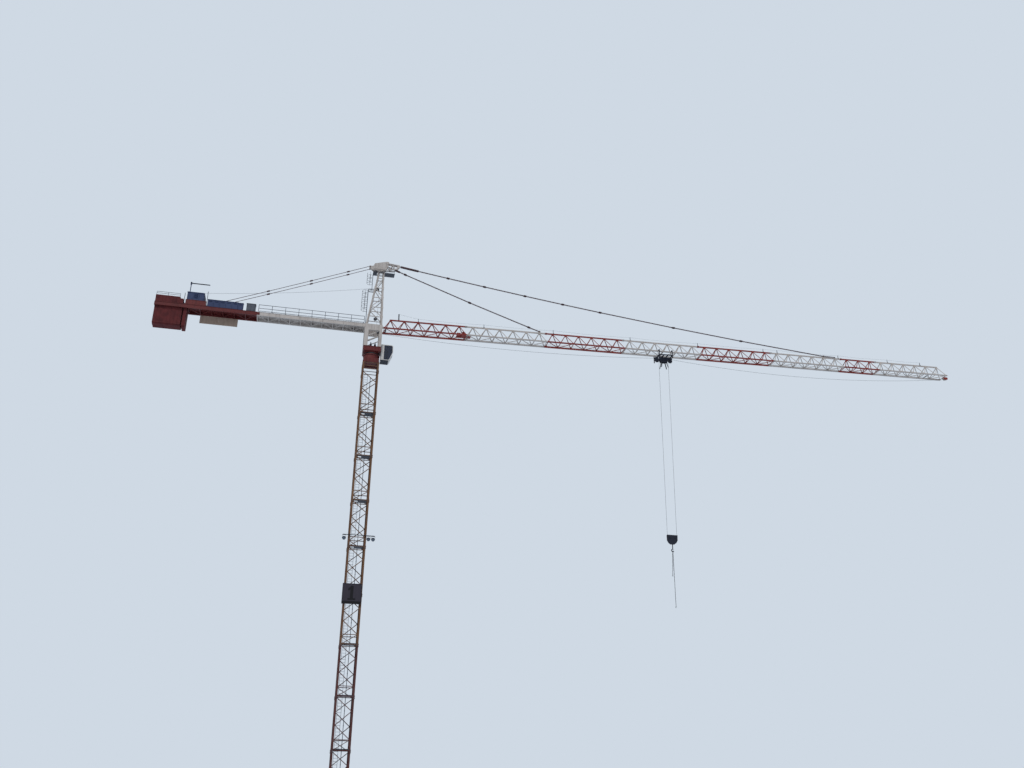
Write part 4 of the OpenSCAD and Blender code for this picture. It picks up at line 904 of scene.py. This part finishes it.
def ballast_details():
    """Tops of the tall slab heads, steel edge bands, lifting loops and the light rail along the heads."""
    heads, bands, loops, rail = Shape(), Shape(), Shape(), Shape()
    for i in range(9):
        low, tall = i == 8, i < 7
        x0 = CJ_X2 + 5 + i * 37 + (12 if low else 0)
        x1 = x0 + 36
        x = (x0 + x1) / 2
        drop = 268 if low else 258
        top = CJ_TOP + (85 if tall else 62)
        if tall:
            heads.plate([(-88, 62), (88, 62), (88, 79), (82, 85), (-82, 85), (-88, 79)], 36,
                        lambda u, v, w, at=x: (at + w, u, CJ_TOP + v))
        for side in SIDES:
            for z in (CJ_TOP - drop + 14, CJ_Z - 5):
                bands.block((x0 + 0.5, side * 69, z), (x1 - 0.5, side * 70.4, z + 4))
            if low:
                continue
            bands.block((x0 + 0.5, side * 88, CJ_TOP + 1), (x1 - 0.5, side * 89.4, CJ_TOP + 5))
            loops.tube([(x, side * 42, top), (x, side * 42, top + 9), (x, side * 46, top + 13),
                        (x, side * 52, top + 13), (x, side * 56, top + 9), (x, side * 56, top)], 1.6, 8)
    for side in SIDES:
        for x in (CJ_X2 + 8, CJ_X2 + 130, CJ_X2 + 258):
            rail.block((x, side * 78, CJ_TOP + 85), (x + 3, side * 81, CJ_TOP + 125))
        for z in (103, 122):
            rail.block((CJ_X2 + 8, side * 78, CJ_TOP + z), (CJ_X2 + 261, side * 81, CJ_TOP + z + 3))
    heads.piece("ballast_slab_heads", "painted_concrete")
    # Edge bands in the red enamel darkened with painted shade
    bands.piece("ballast_edge_bands", "red_paint", finish=shaded_red)
    loops.piece("ballast_lifting_loops", "galvanised_steel")
    rail.piece("ballast_rail", "dark_paint")


def guard_board():
    """Red board in front of the winch house, the single posts at its ends and the hand winch on the roof."""
    board, posts, winch = Shape(), Shape(), Shape()
    board.block((GUARD_END, -86, CJ_TOP), (DECK_END, -84, CJ_TOP + 62))
    for k in range(7):
        x = GUARD_END + 4 + k * 35.5
        board.block((x, -87.4, CJ_TOP + 2), (x + 2, -86, CJ_TOP + 60))
    for z in (2, 57):
        board.block((GUARD_END, -88, CJ_TOP + z), (DECK_END, -86, CJ_TOP + z + 3))
    # The guard board takes the red enamel darkened with painted shade
    board.piece("house_guard_board", "red_paint", finish=shaded_red)
    for x, top in ((-2101, 5300), (-1860, 5345)):
        posts.block((x, -84, CJ_TOP), (x + 5, -79, top))
        posts.block((x - 3, -86, CJ_TOP), (x + 8, -76, CJ_TOP + 3))
    posts.piece("house_end_posts", "dark_paint")
    winch.block((-2048, -14, HOUSE_TOP), (-2026, 14, HOUSE_TOP + 5))
    for y in (-14, 10):
        winch.upright([(-2047, 5), (-2027, 5), (-2031, 30), (-2043, 30)], 3, (0, y + 2, HOUSE_TOP))
    winch.tube([(-2037, -10, HOUSE_TOP + 20), (-2037, 10, HOUSE_TOP + 20)], 8, 20)
    winch.piece("roof_hand_winch", "slate_paint")


def house_details():
    """Roof edge, doors with hinges and handles, louvres and lifting rings of the winch house."""
    skin = Shape()
    x0, x1 = HOUSE_X, HOUSE_X + HOUSE_L
    z0, z1 = CJ_TOP + 12, HOUSE_TOP
    for side in SIDES:
        y = side * 80
        skin.block((x0 - 3, y, z1 - 8), (x1 + 2, y + side * 3.5, z1 + 1))
        skin.block((x0, y, z0), (x1, y + side * 1.5, z0 + 8))
        for a, b in ((4, 62), (66, 122), (126, 178)):
            skin.border(y, x0 + a, x0 + b, z0 + 10, z1 - 10, 2, side * 1.2)
        for k in range(12):
            z = z1 - 20 - k * 5
            skin.block((x0 + 74, y, z), (x0 + 114, y + side * 2.2, z + 1.6))
        for x in (x0 + 8, x0 + 130):
            for z in (z0 + 30, z1 - 42):
                skin.tube([(x, y + side * 1.5, z), (x, y + side * 1.5, z + 12)], 1.8, 10)
        for x in (x0 + 56, x0 + 172):
            skin.tube([(x, y, z0 + 62), (x, y + side * 3.5, z0 + 62),
                       (x, y + side * 3.5, z0 + 78), (x, y, z0 + 78)], 1, 8)
        for x in (x0 + 34, x1 - 14):
            skin.tube(circle((x, side * 62, z1 + 5), 5, X, Z, 14), 1.4, 6)
    for x, out in ((x0, -1), (x1, 1)):
        skin.block((x, -83, z1 - 8), (x + out * 2, 83, z1 + 1))
        for k in range(9):
            skin.block((x, -65 + k * 16, z0 + 8), (x + out * 0.9, -63 + k * 16, z1 - 8))
    skin.piece("winch_house_panels", "slate_paint")
    grooves = Shape()
    for k in range(6):
        grooves.tube(circle((HOUSE_X + 91, -7.5 + k * 3, HOUSE_TOP + 23.5), 7, X, Z, 20), 0.8, 6)
    grooves.piece("house_roller_grooves", "cast_sheave", smooth=True)


def cabinet_details():
    """Doors, vents and handles on the electrical cabinets, and the cable tray beside the walkway."""
    skin = Shape()
    skin.block((-1519, -86, CJ_TOP), (-1462, -50, CJ_TOP + 84))
    case = Shape()
    case.block((-1427, -87, CJ_TOP), (-1328, -24, CJ_TOP + 90))
    case.block((-1430, -89, CJ_TOP + 90), (-1325, -22, CJ_TOP + 93))
    for a, b in ((-1424, -1379), (-1376, -1331)):
        case.border(-87, a, b, CJ_TOP + 4, CJ_TOP + 86, 2, -1.2)
    case.piece("junction_box_case", "galvanised_steel")
    for x0, length, depth, height, doors in ((-1850, 330, 38, 88, 5), (-1519, 57, 36, 84, 1)):
        y = -86
        for k in range(doors):
            a, b = x0 + k * length / doors + 2, x0 + (k + 1) * length / doors - 2
            skin.border(y, a, b, CJ_TOP + 4, CJ_TOP + height - 4, 1.6, -1.1)
            for n in range(5):
                z = CJ_TOP + height - 14 - n * 3.4
                skin.block((a + 12, y, z), (b - 12, y - 1.4, z + 1.4))
            z = CJ_TOP + 0.5 * height
            skin.tube([(b - 5, y, z), (b - 5, y - 3, z), (b - 5, y - 3, z - 9)], 1, 8)
        skin.block((x0 - 2, y - 2, CJ_TOP + height), (x0 + length + 2, y + depth + 2, CJ_TOP + height + 2.4))
    skin.piece("cabinet_doors", "slate_paint")
    tray = Shape()
    for y in (-30, -17):
        tray.block((-1500, y, CJ_TOP - 6), (CJ_X0 - 14, y + 1.2, CJ_TOP + 2))
    for k in range(5):
        tray.tube([(-1500, -27 + 2.3 * k, CJ_TOP - 3.5), (CJ_X0 - 14, -27 + 2.3 * k, CJ_TOP - 3.5)], 1, 6)
    tray.piece("counter_jib_cable_tray", "galvanised_steel")


def board_frames():
    """Folded edges and battens of the two blank boards under the counter-jib."""
    bars = Shape()
    for i in range(2):
        x0 = -1925 + i * 206
        z0, z1 = CJ_Z - 95, CJ_Z - 0.5
        for y, out in ((77, -1.6), (81, 1.6)):
            bars.border(y, x0, x0 + 205, z0, z1, 3, out)
        for x in (x0 + 40, x0 + 102, x0 + 165):
            bars.block((x - 2, 77, z0 + 3), (x + 2, 75.4, z1 - 3))
            for z in (z0 + 12, z1 - 12):
                bars.bolt((x, 75.4, z), -Y, 1.6, 1.4)
    bars.piece("hung_board_frames", "beige_board")


# Trolley and hook block

def trolley_details():
    """Hub caps, axle bolts, end buffers and sheave cheeks of the trolley."""
    caps = Shape()
    for sx, sy in CORNERS:
        hub = jib(TROLLEY_X + sx * 82, sy * 98, 6.3)
        caps.tube([hub, hub + Y * sy * 3], 6, 16)
        caps.bolt(hub + Y * sy * 3, Y * sy, 2.2, 2)
        for z in (-30, -44, -70):
            caps.bolt(jib(TROLLEY_X + sx * 82, sy * 98, z), Y * sy, 2.2, 2)
        end = jib(TROLLEY_X + sx * 88, sy * 60, -53)
        caps.tube([end, end + X * sx * 9], 5, 16)
        sheave = jib(TROLLEY_X + sx * SHEAVE_X, sy * 11, SHEAVE_Z)
        caps.tube([sheave, sheave + Y * sy * 3], 6.5, 16)
    caps.piece("trolley_fittings", "dark_paint", "trolley")


BLOCK = Vector((jib(TROLLEY_X, 0, 0).x, 0, jib(TROLLEY_X, 0, SHEAVE_Z).z - FALL))
BOWL = BLOCK + Vector((0, 0, -74 - 69))


def block_details():
    """Axle caps, cheek bolts and stiffening strips of the hook block, and the hook's safety latch."""
    fittings = Shape()
    for side in SIDES:
        face = side * 11.5
        for x in (-31, 31):
            axle = BLOCK + Vector((x, face, 0))
            fittings.tube([axle, axle + Y * side * 3], 8, 20)
            fittings.bolt(axle + Y * side * 3, Y * side, 3, 2)
        for x, z in ((-56, 22), (0, 22), (56, 22), (-52, -30), (52, -30), (-18, -66), (18, -66), (0, -34)):
            fittings.bolt(BLOCK + Vector((x, face, z)), Y * side, 2.4, 2.2)
        fittings.block(BLOCK + Vector((-61, face, 27)), BLOCK + Vector((61, face + side * 1.6, 31.5)))
    for x in (-56, 0, 56):
        fittings.tube([BLOCK + Vector((x, -8, 22)), BLOCK + Vector((x, 8, 22))], 2.4, 10)
    fittings.piece("hook_block_fittings", "block_paint", "hook")
    latch = Shape()
    latch.bar(BOWL + Vector((-3, 0, 18)), BOWL + Vector((13, 0, 5)), 5, 1.6)
    latch.tube([BOWL + Vector((-3, -4, 18)), BOWL + Vector((-3, 4, 18))], 1.6, 10)
    latch.piece("hook_safety_latch", "forged_steel", "hook", finish=FINISH["galvanised_steel"])


def chain_link(shape, middle, down, side, half_length, half_width, wire):
    """One oval chain link."""
    points = []
    for n in range(12):
        a = math.tau * (n + 0.5) / 12
        stretch = half_length - half_width
        points.append(middle + side * half_width * math.cos(a)
                      + down * (half_width * math.sin(a) + math.copysign(stretch, math.sin(a))))
    shape.tube(points + points[:1], wire, 5)


def sling_chain():
    """The chain sling: its ring in the hook, two legs of real links and a hook on each leg."""
    chain = Shape()
    ring_r, wire = 12, 2
    ring = BOWL + Z * (-14 + 5 + wire + 0.3 - ring_r)
    chain.tube(circle(ring, ring_r, Y, Z, 32), wire, 10)
    foot = ring - Z * ring_r
    for x, length, thick in ((-14, 250, 1.3), (6, 600, 1.15)):
        top, low = foot + X * x / 4, foot + Vector((x, 0, -length))
        down = (low - top).normalized()
        count = int((low - top).length / 6.4)
        for k in range(count):
            side = (Y if k % 2 else X)
            side = (side - down * side.dot(down)).normalized()
            chain_link(chain, top.lerp(low, (k + 0.5) / count), down, side, 4.2, 2.3, thick)
        chain.tube(circle(low - Z * 6, 6, X, Z, 18, math.pi / 2, math.radians(250)), 1.8, 8)
        chain.tube([low + Z * 3, low - Z], 3, 10)
    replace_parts(chain.piece("sling_chain_links", "forged_steel", "hook", smooth=True), "chain_sling")


# Hoist rope

def running_rope(name, start, stop, sag, steps):
    """A length of hoist rope between two bodies that move apart."""
    rope = Shape()
    rope.tube([sagging(start, stop, sag, k / steps) for k in range(steps + 1)], ROPE_R, 8)
    made = rope.piece(name, "wire_rope", None, smooth=True)
    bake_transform(made)
    return made


def hoist_ropes():
    """Running lengths of the hoist rope: two falls to the block and two spans along the jib."""
    falls = []
    for sx, name in ((-1, "inner"), (1, "outer")):
        top = jib(TROLLEY_X + sx * (SHEAVE_X - SHEAVE_TO_ROPE), 0, SHEAVE_Z)
        low = BLOCK + X * sx * (31 + SHEAVE_TO_ROPE)
        falls.append(running_rope(f"hoist_fall_{name}", top, low, 0, 40))
    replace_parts(falls[0], "hoist_falls")
    root = Vector((55, 0, 5108.3 - 18.3))
    tip = jib(JIB_LENGTH + 1.2, 0, -26)
    near, far = (jib(TROLLEY_X + x, 0, SHEAVE_Z + SHEAVE_TO_ROPE) for x in (-91, 91))
    inner = running_rope("jib_rope_root_span", root, near, 62, 60)
    running_rope("jib_rope_tip_span", tip, far, 112, 60)
    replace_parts(inner, "jib_hoist_rope")


# Camera, light and floor

def stand_camera():
    """Low on the near side, looking up past the mast."""
    data = bpy.data.cameras.new("camera")
    camera = bpy.data.objects.new("camera", data)
    bpy.context.scene.collection.objects.link(camera)
    data.lens = 34.42
    data.sensor_width = 36.0
    data.clip_start, data.clip_end = 0.05, 300.0
    heading, pitch, lean = math.radians(-11.92), math.radians(90 + 23.02), math.radians(0.92)
    turn = Matrix.Rotation(heading, 4, "Z") @ Matrix.Rotation(pitch, 4, "X") @ Matrix.Rotation(lean, 4, "Z")
    camera.matrix_world = Matrix.Translation((-0.522, -10.275, 0.162)) @ turn
    bpy.context.scene.camera = camera


def light_studio():
    """A pale floor and surround, a soft overhead lamp and an even fill."""
    world = bpy.data.worlds.new("studio")
    bpy.context.scene.world = world
    world.use_nodes = True
    tree = world.node_tree
    tree.nodes.clear()
    rays = add(tree, "LightPath")
    seen = add(tree, "Math", {0: rays.outputs["Is Camera Ray"], 1: rays.outputs["Is Glossy Ray"]},
               operation="MAXIMUM")
    shown = add(tree, "Math", {0: seen.outputs[0], 1: rays.outputs["Is Transmission Ray"]},
                operation="MAXIMUM")
    fill = add(tree, "Background", {"Color": paint("#e6edf9"), "Strength": 0.54})
    surround = add(tree, "Background", {"Color": paint("#cfd9e4"), "Strength": 1.0})
    either = add(tree, "MixShader", {0: shown.outputs[0], 1: fill.outputs[0], 2: surround.outputs[0]})
    add(tree, "OutputWorld", {"Surface": either.outputs[0]})
    lamp = bpy.data.lights.new("overhead", "SUN")
    lamp.energy = 1.9
    lamp.angle = math.radians(14)
    lamp_object = bpy.data.objects.new("overhead", lamp)
    lamp_object.rotation_euler = (math.radians(28), math.radians(-22), 0.0)
    bpy.context.scene.collection.objects.link(lamp_object)
    bpy.context.scene.view_settings.view_transform = "Standard"
    span, drop = 60.0, -0.002
    mesh = bpy.data.meshes.new("floor")
    mesh.from_pydata([(-span, -span, drop), (span, -span, drop), (span, span, drop), (-span, span, drop)],
                     [], [(0, 1, 2, 3)])
    material, tree, place = new_finish("pale_floor")
    mottle = add(tree, "TexNoise", {"Vector": place, "Scale": 0.4})
    tone = add(tree, "ValToRGB", {"Fac": mottle.outputs["Fac"]}, stops=((0.3, "#c9d3de"), (0.7, "#cfd9e4")))
    shader = add(tree, "BsdfPrincipled", {"Base Color": tone.outputs["Color"], "Roughness": 0.9})
    add(tree, "OutputMaterial", {"Surface": shader.outputs["BSDF"]})
    mesh.materials.append(material)
    floor = bpy.data.objects.new("floor", mesh)
    bpy.context.scene.collection.objects.link(floor)


stand_camera()
light_studio()
for dress in (splice_bolts, landing_gratings, power_conduit, anchor_nuts, number_face, round_floodlights,
              slewing_drum, slewing_bolts, motor_fins, turntable_ribs, head_gussets, crown_fittings,
              ladder_cages, cab_fittings, cab_seat, jib_joints, jib_gussets, lifeline, hauling_rope,
              trolley_winch_details, tip_plates, tie_splices, walkway, beam_details, ballast_details,
              guard_board, house_details, cabinet_details, board_frames, trolley_details, block_details,
              sling_chain, hoist_ropes):
    dress()
